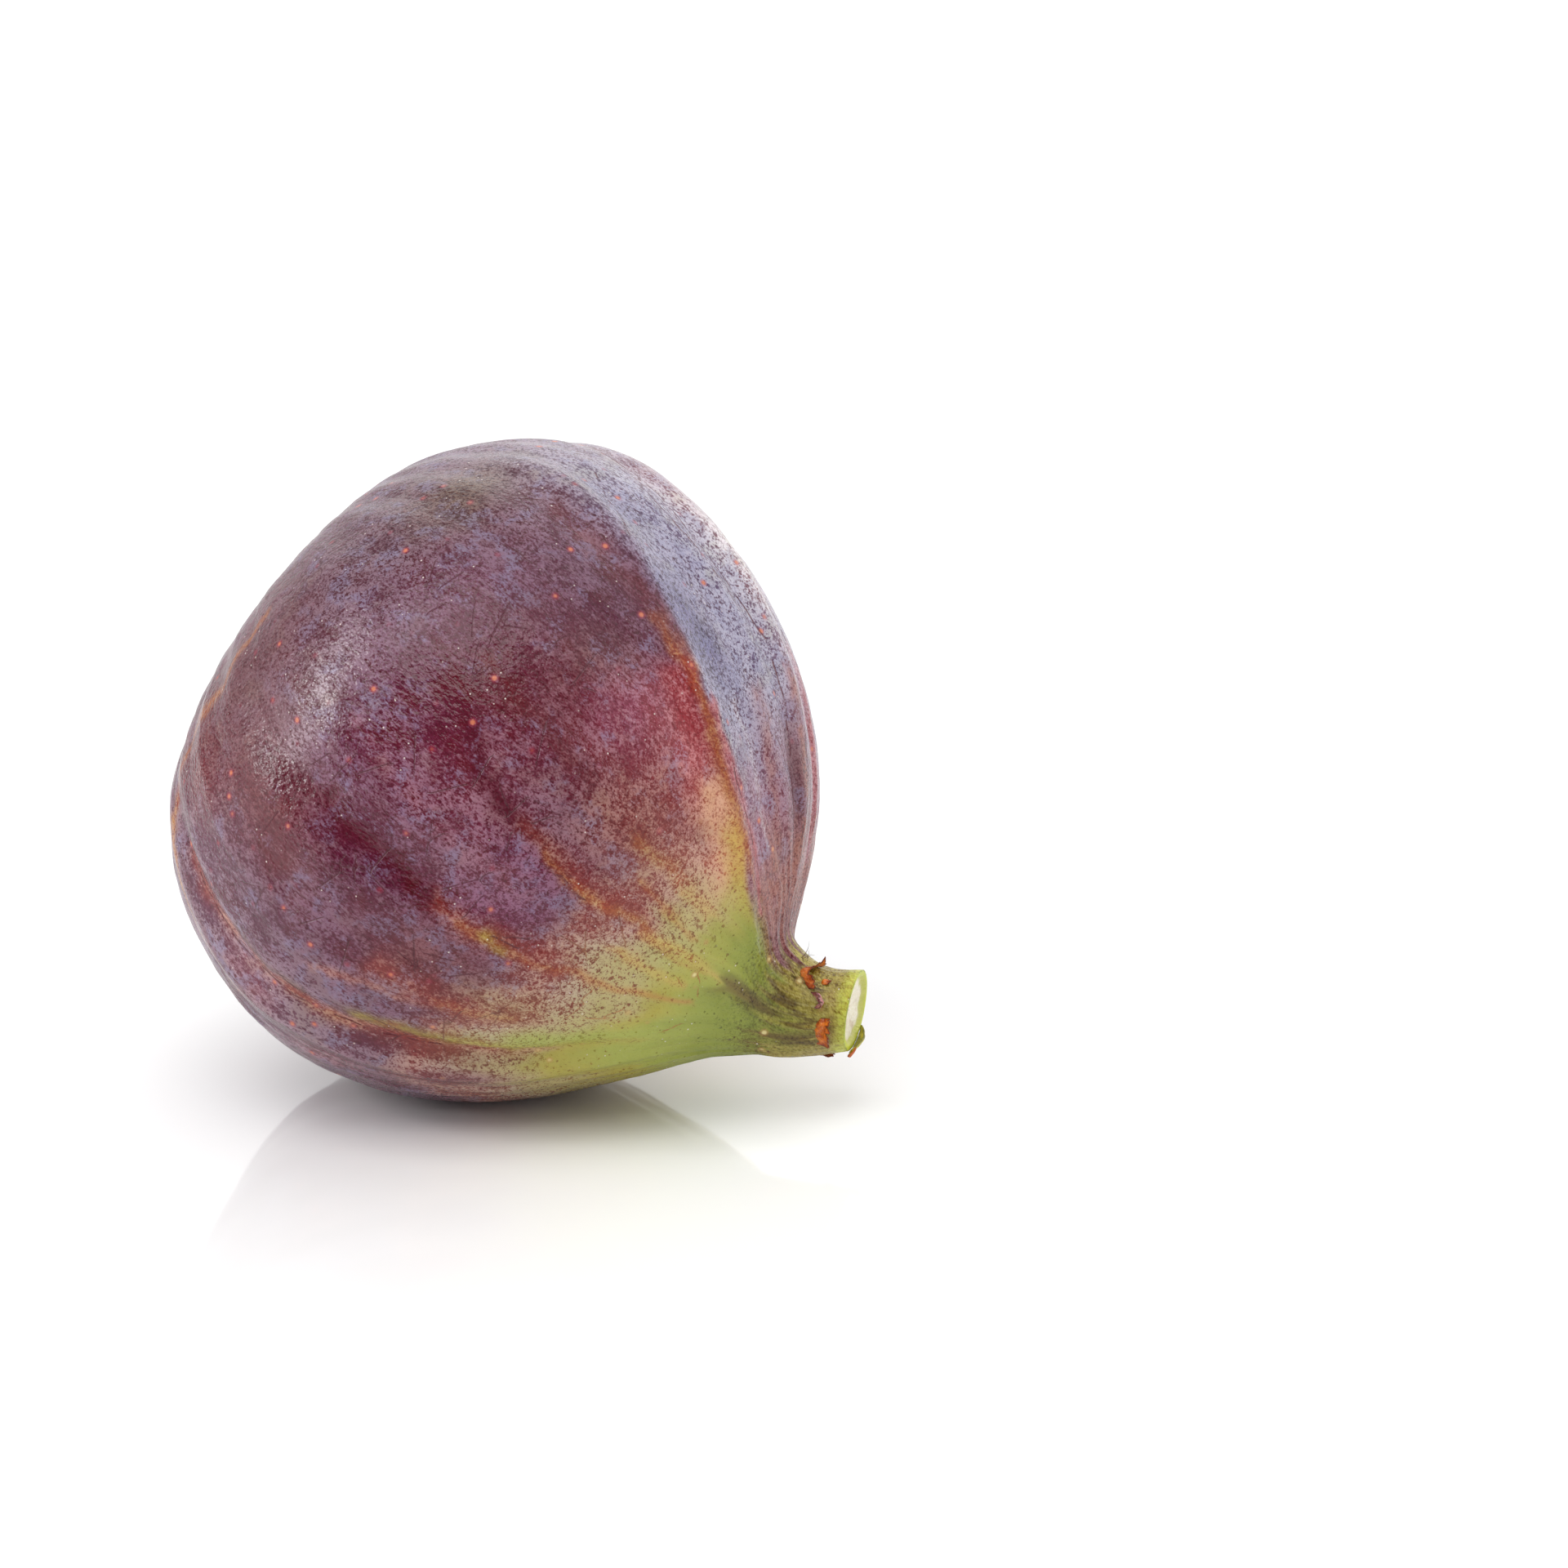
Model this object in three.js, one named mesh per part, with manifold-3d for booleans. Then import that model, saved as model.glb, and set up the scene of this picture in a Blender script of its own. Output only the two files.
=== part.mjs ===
// A ripe fresh fig, as picked, lying on its side. It grew as one piece, so it is one solid:
// the bulb with its ridges and furrows, the scaly eye at the blossom end, the bent neck and a
// short stub of cut stem with the torn remains of the bracts round it.
// Millimetres. X runs along the fruit toward the stem, Z is up, and the floor is at Z = 0.
import * as THREE from 'three';
import { mergeVertices } from 'three/addons/utils/BufferGeometryUtils.js';
import Module from 'manifold-3d';

// Cross sections from the eye to the cut end of the stem. Each is a ring between a point on the
// crown side and a point on the belly side, both as [along the axis, out from the axis], and
// cheek is how far the ring reaches to the left and right of them.
const SECTIONS = [
  { crown: [0, 0], belly: [0, 0], cheek: 0 },
  { crown: [1.1, 9.4], belly: [1.1, -10.2], cheek: 9.7 },
  { crown: [3.4, 15.1], belly: [2.8, -16.2], cheek: 15.6 },
  { crown: [7.7, 20.1], belly: [6.4, -22.3], cheek: 21.1 },
  { crown: [13.9, 23.8], belly: [13.0, -27.3], cheek: 25.3 },
  { crown: [21.6, 24.7], belly: [22.3, -29.8], cheek: 26.8 },
  { crown: [29.3, 23.4], belly: [31.4, -27.7], cheek: 25.2 },
  { crown: [37.0, 19.6], belly: [39.8, -22.3], cheek: 20.8 },
  { crown: [43.2, 14.1], belly: [46.3, -14.8], cheek: 14.5 },
  { crown: [47.0, 8.6], belly: [50.6, -8.8], cheek: 8.8 },
  { crown: [49.4, 4.0], belly: [53.4, -6.0], cheek: 5.3 },
  { crown: [51.6, 3.1], belly: [55.4, -4.6], cheek: 4.0 },
  { crown: [54.0, 3.5], belly: [57.4, -2.8], cheek: 3.6 },
  { crown: [56.1, 5.0], belly: [59.2, -0.8], cheek: 3.5 },
];

// Ridges (height above 0) and furrows (below 0) that run from the eye to the neck. Degrees give
// the place round the fruit, from the crown toward the left cheek, at the stations in MARKS.
// A station is a place along the fruit, counted in sections. reach is where the feature fades
// in and out, and spread is its half width in degrees.
const MARKS = [2, 6, 10];
const FADE_IN_STATIONS = 1.5;
const FADE_OUT_STATIONS = 2;
const FEATURES = [
  { degrees: [38, 44, 92], height: 0.6, spread: 4.5, reach: [2.8, 10.0] },
  { degrees: [24, 31, 62], height: -0.6, spread: 9, reach: [3.2, 9.5] },
  { degrees: [5, 18, 30], height: -0.45, spread: 3.2, reach: [3.0, 9.8] },
  { degrees: [0, 11, 22], height: 0.3, spread: 4, reach: [3.0, 9.8] },
  { degrees: [-12, 0, 2], height: -0.4, spread: 3.4, reach: [4.0, 9.6] },
  { degrees: [75, 88, 112], height: -0.25, spread: 5, reach: [3.5, 9.0] },
  { degrees: [116, 110, 120], height: -0.5, spread: 5, reach: [2.4, 9.0] },
  { degrees: [148, 147, 140], height: -0.8, spread: 3.6, reach: [2.4, 9.0] },
  { degrees: [157, 156, 152], height: 0.3, spread: 5, reach: [3.4, 9.0] },
  { degrees: [190, 196, 200], height: -0.5, spread: 4.5, reach: [2.5, 9.5] },
  { degrees: [224, 218, 205], height: 0.35, spread: 5, reach: [2.2, 9.5] },
  { degrees: [262, 254, 240], height: -0.6, spread: 5.5, reach: [2.4, 9.0] },
  { degrees: [290, 282, 262], height: 0.55, spread: 5, reach: [2.0, 10.0] },
  { degrees: [318, 322, 330], height: -0.5, spread: 5, reach: [2.6, 9.4] },
];

// Broad unevenness of a soft fruit, and the fine veins between the main ridges. Both are fullest
// on the bulb: they rise from the first to the second of its stations and end at the last two.
// The lumps go round the fruit in waves, and the veins sway by some radians as they go.
const BULB_STATIONS = [0.5, 3, 7, 10.5];
const LUMP_HEIGHT = 0.2;
const LUMP_WAVES = [3, 2];
const LUMP_TWISTS = [1, -0.7];
const VEIN_COUNT = 26;
const VEIN_HEIGHT = 0.14;
const VEIN_SWAY_ROUND = 3;
const VEIN_SWAY_ALONG = 0.5;

// The eye: a shallow dimple with two rings of small scales closing over a narrow mouth. A scale
// rises from its root, at the outside of its ring, to its tip, and drops off there. Between two
// scales the tip lies further out by SCALE_NOTCH and only the share SCALE_WEB of the height stays.
const DIMPLE_DEPTH = 1.0;
const DIMPLE_RADIUS = 6.5;
const SCALE_RINGS = [
  { count: 6, root: 3.9, tip: 1.7, height: 0.55, turn: 0 },
  { count: 5, root: 2.4, tip: 0.75, height: 0.75, turn: 0.5 },
];
const SCALE_DROP = 0.45;
const SCALE_NOTCH = 0.35;
const SCALE_WEB = 0.3;
const MOUTH_RADIUS = 0.6;
const MOUTH_DEPTH = 0.5;

// The cut end of the stem: a rim of skin round a pith that is sunk a little. The step down takes
// STEP_WIDTH more, and the pith is hollow inside PITH_EDGE, both measured in from the rim.
const RIM_WIDTH = 0.45;
const STEP_WIDTH = 0.18;
const PITH_EDGE = 1.8;
const PITH_SINK = 0.35;
const PITH_HOLLOW = 0.6;

// Torn remains of the bracts, in a slanting ring round the stem: station and place round the
// stem in degrees, size along the torn edge and out from the stem, and lean toward the cut end.
// The torn edge is given in shares of half the width and of the length.
const BRACT_THICKNESS = 0.65;
const BRACT_ROOT = 1.0;
const TORN_EDGE = [[1, 0.35], [0.45, 0.8], [0.1, 0.5], [-0.4, 1], [-1, 0.3]];
const BRACTS = [
  { station: 11.6, degrees: 38, width: 2.6, length: 0.9, lean: 50 },
  { station: 12.1, degrees: 80, width: 1.4, length: 0.7, lean: 35 },
  { station: 12.4, degrees: 124, width: 2.9, length: 1.0, lean: 55 },
  { station: 12.3, degrees: 205, width: 2.2, length: 0.8, lean: 45 },
  { station: 11.7, degrees: 296, width: 2.7, length: 0.9, lean: 50 },
];

// How the fruit lies: its axis slopes down to the stem, its crown is rolled away from the left
// cheek, and its weight presses a small flat where it touches the floor
const AXIS_SLOPE_DEGREES = 34.2;
const CROWN_ROLL_DEGREES = 27.7;
const REST_DEPTH = 1.0;

// Fineness of the faceted skin
const COLUMNS = 96;
const EYE_STATIONS = [0.035, 0.075, 0.115, 0.155, 0.2, 0.25, 0.31, 0.39, 0.5, 0.65, 0.82];
const ROWS_PER_SECTION = 3;

const FIRST_STATION = EYE_STATIONS[0];
const LAST_STATION = SECTIONS.length - 1;
const NUDGE = 0.01;
const WELD = 1e-5;
const FLOOR_BLOCK = 300;
const radians = THREE.MathUtils.degToRad;

// Smooth curves through the sections. Each runs from the stem's lower lip along the belly,
// round the eye and back along the crown, so that the blossom end comes out round.
function thereAndBack(bellyPoint, crownPoint) {
  const belly = SECTIONS.slice(1).reverse().map(bellyPoint);
  const crown = SECTIONS.map(crownPoint);
  return new THREE.CatmullRomCurve3([...belly, ...crown], false, 'catmullrom', 0.5);
}

const outline = thereAndBack(
  ({ belly }) => new THREE.Vector3(belly[0], 0, belly[1]),
  ({ crown }) => new THREE.Vector3(crown[0], 0, crown[1]),
);
const cheeks = thereAndBack(
  ({ cheek }) => new THREE.Vector3(-cheek, 0, 0),
  ({ cheek }) => new THREE.Vector3(cheek, 0, 0),
);

const easeIn = THREE.MathUtils.smoothstep;

function bell(distance, spread) {
  return Math.exp(-((distance / spread) ** 2));
}

// The smooth skin with no relief on it. X is along the fruit, Z out to the crown, and the angle
// runs from the crown to the left cheek, which is toward -Y.
function bareSkin(station, angle) {
  const onCurve = station / LAST_STATION / 2;
  const crown = outline.getPoint(0.5 + onCurve);
  const belly = outline.getPoint(0.5 - onCurve);
  const cheek = cheeks.getPoint(0.5 + onCurve).x;
  const middle = crown.clone().add(belly).multiplyScalar(0.5);
  const upward = crown.clone().sub(belly).multiplyScalar(0.5);
  const point = middle.addScaledVector(upward, Math.cos(angle));
  point.y = -cheek * Math.sin(angle);
  return point;
}

function outward(station, angle) {
  const inside = THREE.MathUtils.clamp(station, FIRST_STATION + NUDGE, LAST_STATION - NUDGE);
  const alongSkin = bareSkin(inside + NUDGE, angle).sub(bareSkin(inside - NUDGE, angle));
  const roundSkin = bareSkin(inside, angle + NUDGE).sub(bareSkin(inside, angle - NUDGE));
  return roundSkin.cross(alongSkin).normalize();
}

// A feature's place round the fruit at a station: a parabola through its three places
function placeOf(feature, station) {
  const [first, middle, last] = feature.degrees;
  const half = MARKS[2] - MARKS[1];
  const off = (station - MARKS[1]) / half;
  return middle + (last - first) / 2 * off + (last - 2 * middle + first) / 2 * off * off;
}

function degreesApart(one, other) {
  return THREE.MathUtils.euclideanModulo(one - other + 180, 360) - 180;
}

function featureHeight(feature, station, degrees) {
  const [start, end] = feature.reach;
  const fadeIn = easeIn(station, start, start + FADE_IN_STATIONS);
  const fadeOut = 1 - easeIn(station, end - FADE_OUT_STATIONS, end);
  const off = degreesApart(degrees, placeOf(feature, station));
  return feature.height * fadeIn * fadeOut * bell(off, feature.spread);
}

function scaleHeight(distance, angle) {
  let height = 0;
  for (const { count, root, tip, height: tallest, turn } of SCALE_RINGS) {
    const scallop = Math.sqrt(Math.abs(Math.cos((angle + turn) * count / 2)));
    const tipHere = tip * (1 + SCALE_NOTCH * (1 - scallop));
    const rise = 1 - easeIn(distance, tipHere, root);
    const drop = easeIn(distance, tipHere - SCALE_DROP, tipHere);
    const full = SCALE_WEB + (1 - SCALE_WEB) * scallop;
    height = Math.max(height, tallest * rise * drop * full);
  }
  return height - MOUTH_DEPTH * bell(distance, MOUTH_RADIUS);
}

// How far the real skin stands out from the smooth one, in mm
function relief(station, angle) {
  const degrees = THREE.MathUtils.radToDeg(angle);
  const [rise, full, wane, gone] = BULB_STATIONS;
  const bulb = easeIn(station, rise, full) * (1 - easeIn(station, wane, gone));
  let height = 0;
  for (const feature of FEATURES) {
    height += featureHeight(feature, station, degrees);
  }
  const oneWave = Math.sin(LUMP_WAVES[0] * angle + LUMP_TWISTS[0] * station);
  const otherWave = Math.cos(LUMP_WAVES[1] * angle + LUMP_TWISTS[1] * station);
  height += LUMP_HEIGHT * bulb * oneWave * otherWave;
  const sway = VEIN_SWAY_ROUND * Math.sin(2 * angle) + VEIN_SWAY_ALONG * Math.sin(station);
  height += VEIN_HEIGHT * bulb * Math.cos(VEIN_COUNT * angle + sway);
  const fromEye = bareSkin(station, angle).length();
  height -= DIMPLE_DEPTH * bell(fromEye, DIMPLE_RADIUS);
  height += scaleHeight(fromEye, angle);
  return height;
}

function skin(station, angle) {
  return bareSkin(station, angle).addScaledVector(outward(station, angle), relief(station, angle));
}

// One closed mesh from a stack of rings, with a single point closing each end
function closedMesh(firstPoint, rings, lastPoint) {
  const points = [firstPoint, ...rings.flat(), lastPoint];
  const faces = [];
  const count = rings[0].length;
  const at = (row, column) => 1 + row * count + column % count;
  for (let column = 0; column < count; column += 1) {
    faces.push(0, at(0, column + 1), at(0, column));
    for (let row = 0; row + 1 < rings.length; row += 1) {
      faces.push(at(row, column), at(row + 1, column + 1), at(row + 1, column));
      faces.push(at(row, column), at(row, column + 1), at(row + 1, column + 1));
    }
    faces.push(at(rings.length - 1, column), at(rings.length - 1, column + 1), points.length - 1);
  }
  const geometry = new THREE.BufferGeometry().setFromPoints(points);
  geometry.setIndex(faces);
  return geometry;
}

function average(points) {
  const sum = points.reduce((total, point) => total.add(point), new THREE.Vector3());
  return sum.divideScalar(points.length);
}

// The cut end: the rim, the step down inside the skin, and the hollow middle of the pith
function cutEnd(rim) {
  const middle = average(rim);
  const inward = average(rim.map((point, column) => {
    const next = rim[(column + 1) % rim.length];
    return next.clone().sub(middle).cross(point.clone().sub(middle));
  })).normalize();
  const shrunk = (amount, sink) => rim.map((point) => {
    const spoke = point.clone().sub(middle);
    return middle.clone().add(spoke.setLength(spoke.length() - amount)).addScaledVector(inward, sink);
  });
  const rings = [
    shrunk(RIM_WIDTH, 0),
    shrunk(RIM_WIDTH + STEP_WIDTH, PITH_SINK),
    shrunk(PITH_EDGE, PITH_HOLLOW),
  ];
  return { rings, middle: middle.clone().addScaledVector(inward, PITH_HOLLOW) };
}

function bodyOfFig() {
  const stations = [...EYE_STATIONS];
  for (let row = ROWS_PER_SECTION; row <= LAST_STATION * ROWS_PER_SECTION; row += 1) {
    stations.push(row / ROWS_PER_SECTION);
  }
  const rings = stations.map((station) => {
    const columns = Array.from({ length: COLUMNS }, (_, column) => column / COLUMNS * 2 * Math.PI);
    return columns.map((angle) => skin(station, angle));
  });
  const cut = cutEnd(rings.at(-1));
  return closedMesh(average(rings[0]), [...rings, ...cut.rings], cut.middle);
}

// A scrap of torn bract: a ragged tongue that stands on the stem and leans toward the cut end
function bractScrap({ station, degrees, width, length, lean }) {
  const half = width / 2;
  const tongue = new THREE.Shape([
    new THREE.Vector2(-half, -BRACT_ROOT),
    new THREE.Vector2(half, -BRACT_ROOT),
    ...TORN_EDGE.map(([across, out]) => new THREE.Vector2(across * half, out * length)),
  ]);
  const scrap = new THREE.ExtrudeGeometry(tongue, { depth: BRACT_THICKNESS, bevelEnabled: false });
  const angle = radians(degrees);
  const root = skin(station, angle);
  const out = outward(station, angle);
  const toCut = bareSkin(station + NUDGE, angle).sub(bareSkin(station, angle)).normalize();
  const tip = out.clone().multiplyScalar(Math.cos(radians(lean)));
  tip.addScaledVector(toCut, Math.sin(radians(lean)));
  const side = new THREE.Vector3().crossVectors(out, toCut).normalize();
  const face = new THREE.Vector3().crossVectors(side, tip);
  scrap.translate(0, 0, -BRACT_THICKNESS / 2);
  scrap.applyMatrix4(new THREE.Matrix4().makeBasis(side, tip, face).setPosition(root));
  return scrap;
}

// Joins and cuts of closed meshes
const wasm = await Module();
wasm.setup();

function toSolid(geometry) {
  const bare = geometry.clone();
  bare.deleteAttribute('normal');
  bare.deleteAttribute('uv');
  const merged = mergeVertices(bare, WELD);
  return new wasm.Manifold(new wasm.Mesh({
    numProp: 3,
    vertProperties: new Float32Array(merged.attributes.position.array),
    triVerts: new Uint32Array(merged.index.array),
  }));
}

function toGeometry(solid) {
  const mesh = solid.getMesh();
  const geometry = new THREE.BufferGeometry();
  geometry.setAttribute('position', new THREE.BufferAttribute(mesh.vertProperties, 3));
  geometry.setIndex(new THREE.BufferAttribute(mesh.triVerts, 1));
  return geometry;
}

// The fruit as it lies: joined, sloped and rolled, pressed flat on the floor, and centred
function lyingFig() {
  let solid = toSolid(bodyOfFig());
  for (const bract of BRACTS) {
    solid = solid.add(toSolid(bractScrap(bract)));
  }
  const geometry = toGeometry(solid);
  geometry.applyMatrix4(new THREE.Matrix4().makeRotationX(-radians(CROWN_ROLL_DEGREES)));
  geometry.applyMatrix4(new THREE.Matrix4().makeRotationY(radians(AXIS_SLOPE_DEGREES)));
  geometry.computeBoundingBox();
  geometry.translate(0, 0, -geometry.boundingBox.min.z - REST_DEPTH);

  const floor = new THREE.BoxGeometry(FLOOR_BLOCK, FLOOR_BLOCK, FLOOR_BLOCK);
  floor.translate(0, 0, -FLOOR_BLOCK / 2);
  const rested = toGeometry(toSolid(geometry).subtract(toSolid(floor)));
  rested.computeBoundingBox();
  const middle = rested.boundingBox.getCenter(new THREE.Vector3());
  rested.translate(-middle.x, -middle.y, 0);
  return rested;
}

const skinFinish = new THREE.MeshStandardMaterial({ color: 0x6b4453, roughness: 0.5, metalness: 0 });

const fig = new THREE.Mesh(lyingFig(), skinFinish);
fig.name = 'fig';

const part = new THREE.Group();
part.add(fig);

export default part;
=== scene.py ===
# %% [markdown]
# # A fresh fig, lying on its side
# A ripe fig is a soft bag of flesh in a thin skin. This lesson dresses the fig's plain solid: it
# makes a fine skin on the same form, paints it from the wine-red cheek to the green neck, lays
# the pale waxy bloom over it, and adds the torn bracts and the cut stem. Lengths are worked out
# in millimetres, as on the solid, and turned into metres where a mesh is made.

# %% Load the frame
import math

import bpy
import numpy as np
from mathutils import Matrix, Vector, noise


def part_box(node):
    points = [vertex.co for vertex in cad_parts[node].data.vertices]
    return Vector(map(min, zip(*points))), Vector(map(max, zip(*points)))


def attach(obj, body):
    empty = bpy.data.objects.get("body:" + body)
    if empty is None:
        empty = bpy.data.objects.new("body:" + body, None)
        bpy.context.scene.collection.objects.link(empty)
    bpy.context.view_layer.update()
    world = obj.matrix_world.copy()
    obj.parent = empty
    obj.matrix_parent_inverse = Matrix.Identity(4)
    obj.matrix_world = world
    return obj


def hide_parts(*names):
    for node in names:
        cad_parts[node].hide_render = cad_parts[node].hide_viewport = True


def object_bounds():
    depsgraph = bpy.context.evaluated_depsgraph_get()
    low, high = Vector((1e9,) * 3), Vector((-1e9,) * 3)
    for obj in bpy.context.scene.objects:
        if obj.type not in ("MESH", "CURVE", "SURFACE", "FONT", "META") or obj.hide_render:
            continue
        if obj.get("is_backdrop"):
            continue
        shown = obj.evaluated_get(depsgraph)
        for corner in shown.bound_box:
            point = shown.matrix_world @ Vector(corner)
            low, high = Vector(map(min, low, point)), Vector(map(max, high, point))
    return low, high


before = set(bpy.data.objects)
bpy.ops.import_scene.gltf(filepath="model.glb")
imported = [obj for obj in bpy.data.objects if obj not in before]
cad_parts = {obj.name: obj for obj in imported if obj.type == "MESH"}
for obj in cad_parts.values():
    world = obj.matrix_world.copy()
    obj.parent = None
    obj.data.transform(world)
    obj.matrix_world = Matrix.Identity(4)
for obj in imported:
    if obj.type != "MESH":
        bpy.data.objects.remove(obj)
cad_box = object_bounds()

MM = 0.001
fig_low, fig_high = (np.array(corner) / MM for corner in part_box("fig"))
print("the solid fig measures", np.round(fig_high - fig_low, 1), "mm")

# %% [markdown]
# ## The form
# The fruit is a stack of rings from the eye, at the blossom end, to the cut end of the stem. Each
# ring hangs between a crown point and a belly point, and bulges to both cheeks. A Catmull-Rom
# curve through the rings gives the form between them. Modelling by formula, rather than by hand,
# means that every later layer of relief and colour can be placed by the same two coordinates: the
# station along the fruit and the angle round it.

# %% Rings of the fruit
# crown along and out, belly along and out, cheek
SECTIONS = np.array([
    [0.0, 0.0, 0.0, 0.0, 0.0],
    [1.1, 9.4, 1.1, -10.2, 9.7],
    [3.4, 15.1, 2.8, -16.2, 15.6],
    [7.7, 20.1, 6.4, -22.3, 21.1],
    [13.9, 23.8, 13.0, -27.3, 25.3],
    [21.6, 24.7, 22.3, -29.8, 26.8],
    [29.3, 23.4, 31.4, -27.7, 25.2],
    [37.0, 19.6, 39.8, -22.3, 20.8],
    [43.2, 14.1, 46.3, -14.8, 14.5],
    [47.0, 8.6, 50.6, -8.8, 8.8],
    [49.4, 4.0, 53.4, -6.0, 5.3],
    [51.6, 3.1, 55.4, -4.6, 4.0],
    [54.0, 3.5, 57.4, -2.8, 3.6],
    [56.1, 5.0, 59.2, -0.8, 3.5],
])
FIRST_STATION = 0.02
LAST_STATION = len(SECTIONS) - 1
NUDGE = 0.01


def on_sections(station):
    """The five lengths of a ring at each station, on a smooth curve through the sections."""
    before_eye = SECTIONS[1][[2, 3, 0, 1, 4]] * [1, 1, 1, 1, -1]
    past_cut = 2 * SECTIONS[-1] - SECTIONS[-2]
    rows = np.vstack([before_eye, SECTIONS, past_cut])
    first = np.clip(station.astype(int), 0, LAST_STATION - 1)
    part = (station - first)[:, None]
    a, b, c, d = (rows[first + step] for step in range(4))
    bend = (2 * a - 5 * b + 4 * c - d) * part**2 + (3 * b - a - 3 * c + d) * part**3
    return 0.5 * (2 * b + (c - a) * part + bend)


def bare_skin(station, angle):
    """Points of the smooth skin: x along the fruit, z out to the crown, -y to the left cheek."""
    ring = on_sections(station)
    crown, belly, cheek = ring[:, 0:2], ring[:, 2:4], ring[:, 4]
    middle, upward = (crown + belly) / 2, (crown - belly) / 2
    points = np.empty((len(station), len(angle), 3))
    points[..., 0] = middle[:, :1] + upward[:, :1] * np.cos(angle)
    points[..., 1] = -cheek[:, None] * np.sin(angle)
    points[..., 2] = middle[:, 1:] + upward[:, 1:] * np.cos(angle)
    return points


def outward(station, angle):
    """The direction straight out of the smooth skin."""
    inside = np.clip(station, FIRST_STATION + NUDGE, LAST_STATION - NUDGE)
    along = bare_skin(inside + NUDGE, angle) - bare_skin(inside - NUDGE, angle)
    around = bare_skin(inside, angle + NUDGE) - bare_skin(inside, angle - NUDGE)
    normal = np.cross(around, along)
    return normal / np.linalg.norm(normal, axis=-1, keepdims=True)


# %% [markdown]
# ## The relief
# Under the skin run the fruit's veins. As it ripens, the flesh swells between them, so ridges and
# furrows run from the eye to the neck. Each one is a bell-shaped rise or dip that follows a line
# round the fruit, and fades in and out along it. They are the same ones that the solid has.

# %% Ridges and furrows
# degrees from the crown toward the left cheek at stations 2, 6 and 10; height in mm; half width in
# degrees; first and last station
FEATURES = [
    [(38, 44, 92), 0.6, 4.5, (2.8, 10.0)],
    [(24, 31, 62), -0.6, 9, (3.2, 9.5)],
    [(5, 18, 30), -0.45, 3.2, (3.0, 9.8)],
    [(0, 11, 22), 0.3, 4, (3.0, 9.8)],
    [(-12, 0, 2), -0.4, 3.4, (4.0, 9.6)],
    [(75, 88, 112), -0.25, 5, (3.5, 9.0)],
    [(116, 110, 120), -0.5, 5, (2.4, 9.0)],
    [(148, 147, 140), -0.8, 3.6, (2.4, 9.0)],
    [(157, 156, 152), 0.3, 5, (3.4, 9.0)],
    [(190, 196, 200), -0.5, 4.5, (2.5, 9.5)],
    [(224, 218, 205), 0.35, 5, (2.2, 9.5)],
    [(262, 254, 240), -0.6, 5.5, (2.4, 9.0)],
    [(290, 282, 262), 0.55, 5, (2.0, 10.0)],
    [(318, 322, 330), -0.5, 5, (2.6, 9.4)],
]
FADE_IN_STATIONS = 1.5
FADE_OUT_STATIONS = 2
BULB_STATIONS = (0.5, 3, 7, 10.5)
LUMP_HEIGHT = 0.2
LUMP_WAVES = (3, 2)
LUMP_TWISTS = (1, -0.7)
VEIN_COUNT = 26
VEIN_HEIGHT = 0.1
VEIN_SWAY_ROUND = 3
VEIN_SWAY_ALONG = 0.5


def fade(value, low, high):
    """A smooth step from 0 at low to 1 at high."""
    part = np.clip((value - low) / (high - low), 0, 1)
    return part * part * (3 - 2 * part)


def bell(distance, spread):
    return np.exp(-((distance / spread) ** 2))


def degrees_apart(one, other):
    return (one - other + 180) % 360 - 180


def place_of(places, station):
    """Degrees round the fruit of a line that passes its three places at stations 2, 6 and 10."""
    first, middle, last = places
    off = (station - 6) / 4
    return middle + (last - first) / 2 * off + (last - 2 * middle + first) / 2 * off**2


def along_line(places, spread, reach, station, degrees):
    """1 on a line from the eye to the neck, fading to its sides and at its ends."""
    start, end = reach
    ends = fade(station, start, start + FADE_IN_STATIONS)
    ends = ends * (1 - fade(station, end - FADE_OUT_STATIONS, end))
    return ends * bell(degrees_apart(degrees, place_of(places, station)), spread)


# %% [markdown]
# The eye is the small mouth that a wasp would enter by. Rings of scales close it. Each scale
# rises from its root to a rounded tip, and drops off there, so a formula of the distance from the
# eye and the angle round it is enough to raise them.

# %% Scales of the eye
DIMPLE_DEPTH = 1.0
DIMPLE_RADIUS = 6.5
# number of scales, root and tip distance from the eye, height, turn in radians
SCALE_RINGS = [(6, 3.9, 1.7, 0.55, 0.0), (5, 2.4, 0.75, 0.75, 0.5)]
SCALE_DROP = 0.45
SCALE_NOTCH = 0.35
SCALE_WEB = 0.3
MOUTH_RADIUS = 0.6
MOUTH_DEPTH = 0.5


def scale_height(distance, angle):
    height = np.zeros(np.broadcast(distance, angle).shape)
    for count, root, tip, tallest, turn in SCALE_RINGS:
        scallop = np.sqrt(np.abs(np.cos((angle + turn) * count / 2)))
        tip_here = tip * (1 + SCALE_NOTCH * (1 - scallop))
        rise = 1 - fade(distance, tip_here, root)
        drop = fade(distance, tip_here - SCALE_DROP, tip_here)
        share = SCALE_WEB + (1 - SCALE_WEB) * scallop
        height = np.maximum(height, tallest * rise * drop * share)
    return height - MOUTH_DEPTH * bell(distance, MOUTH_RADIUS)


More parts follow.
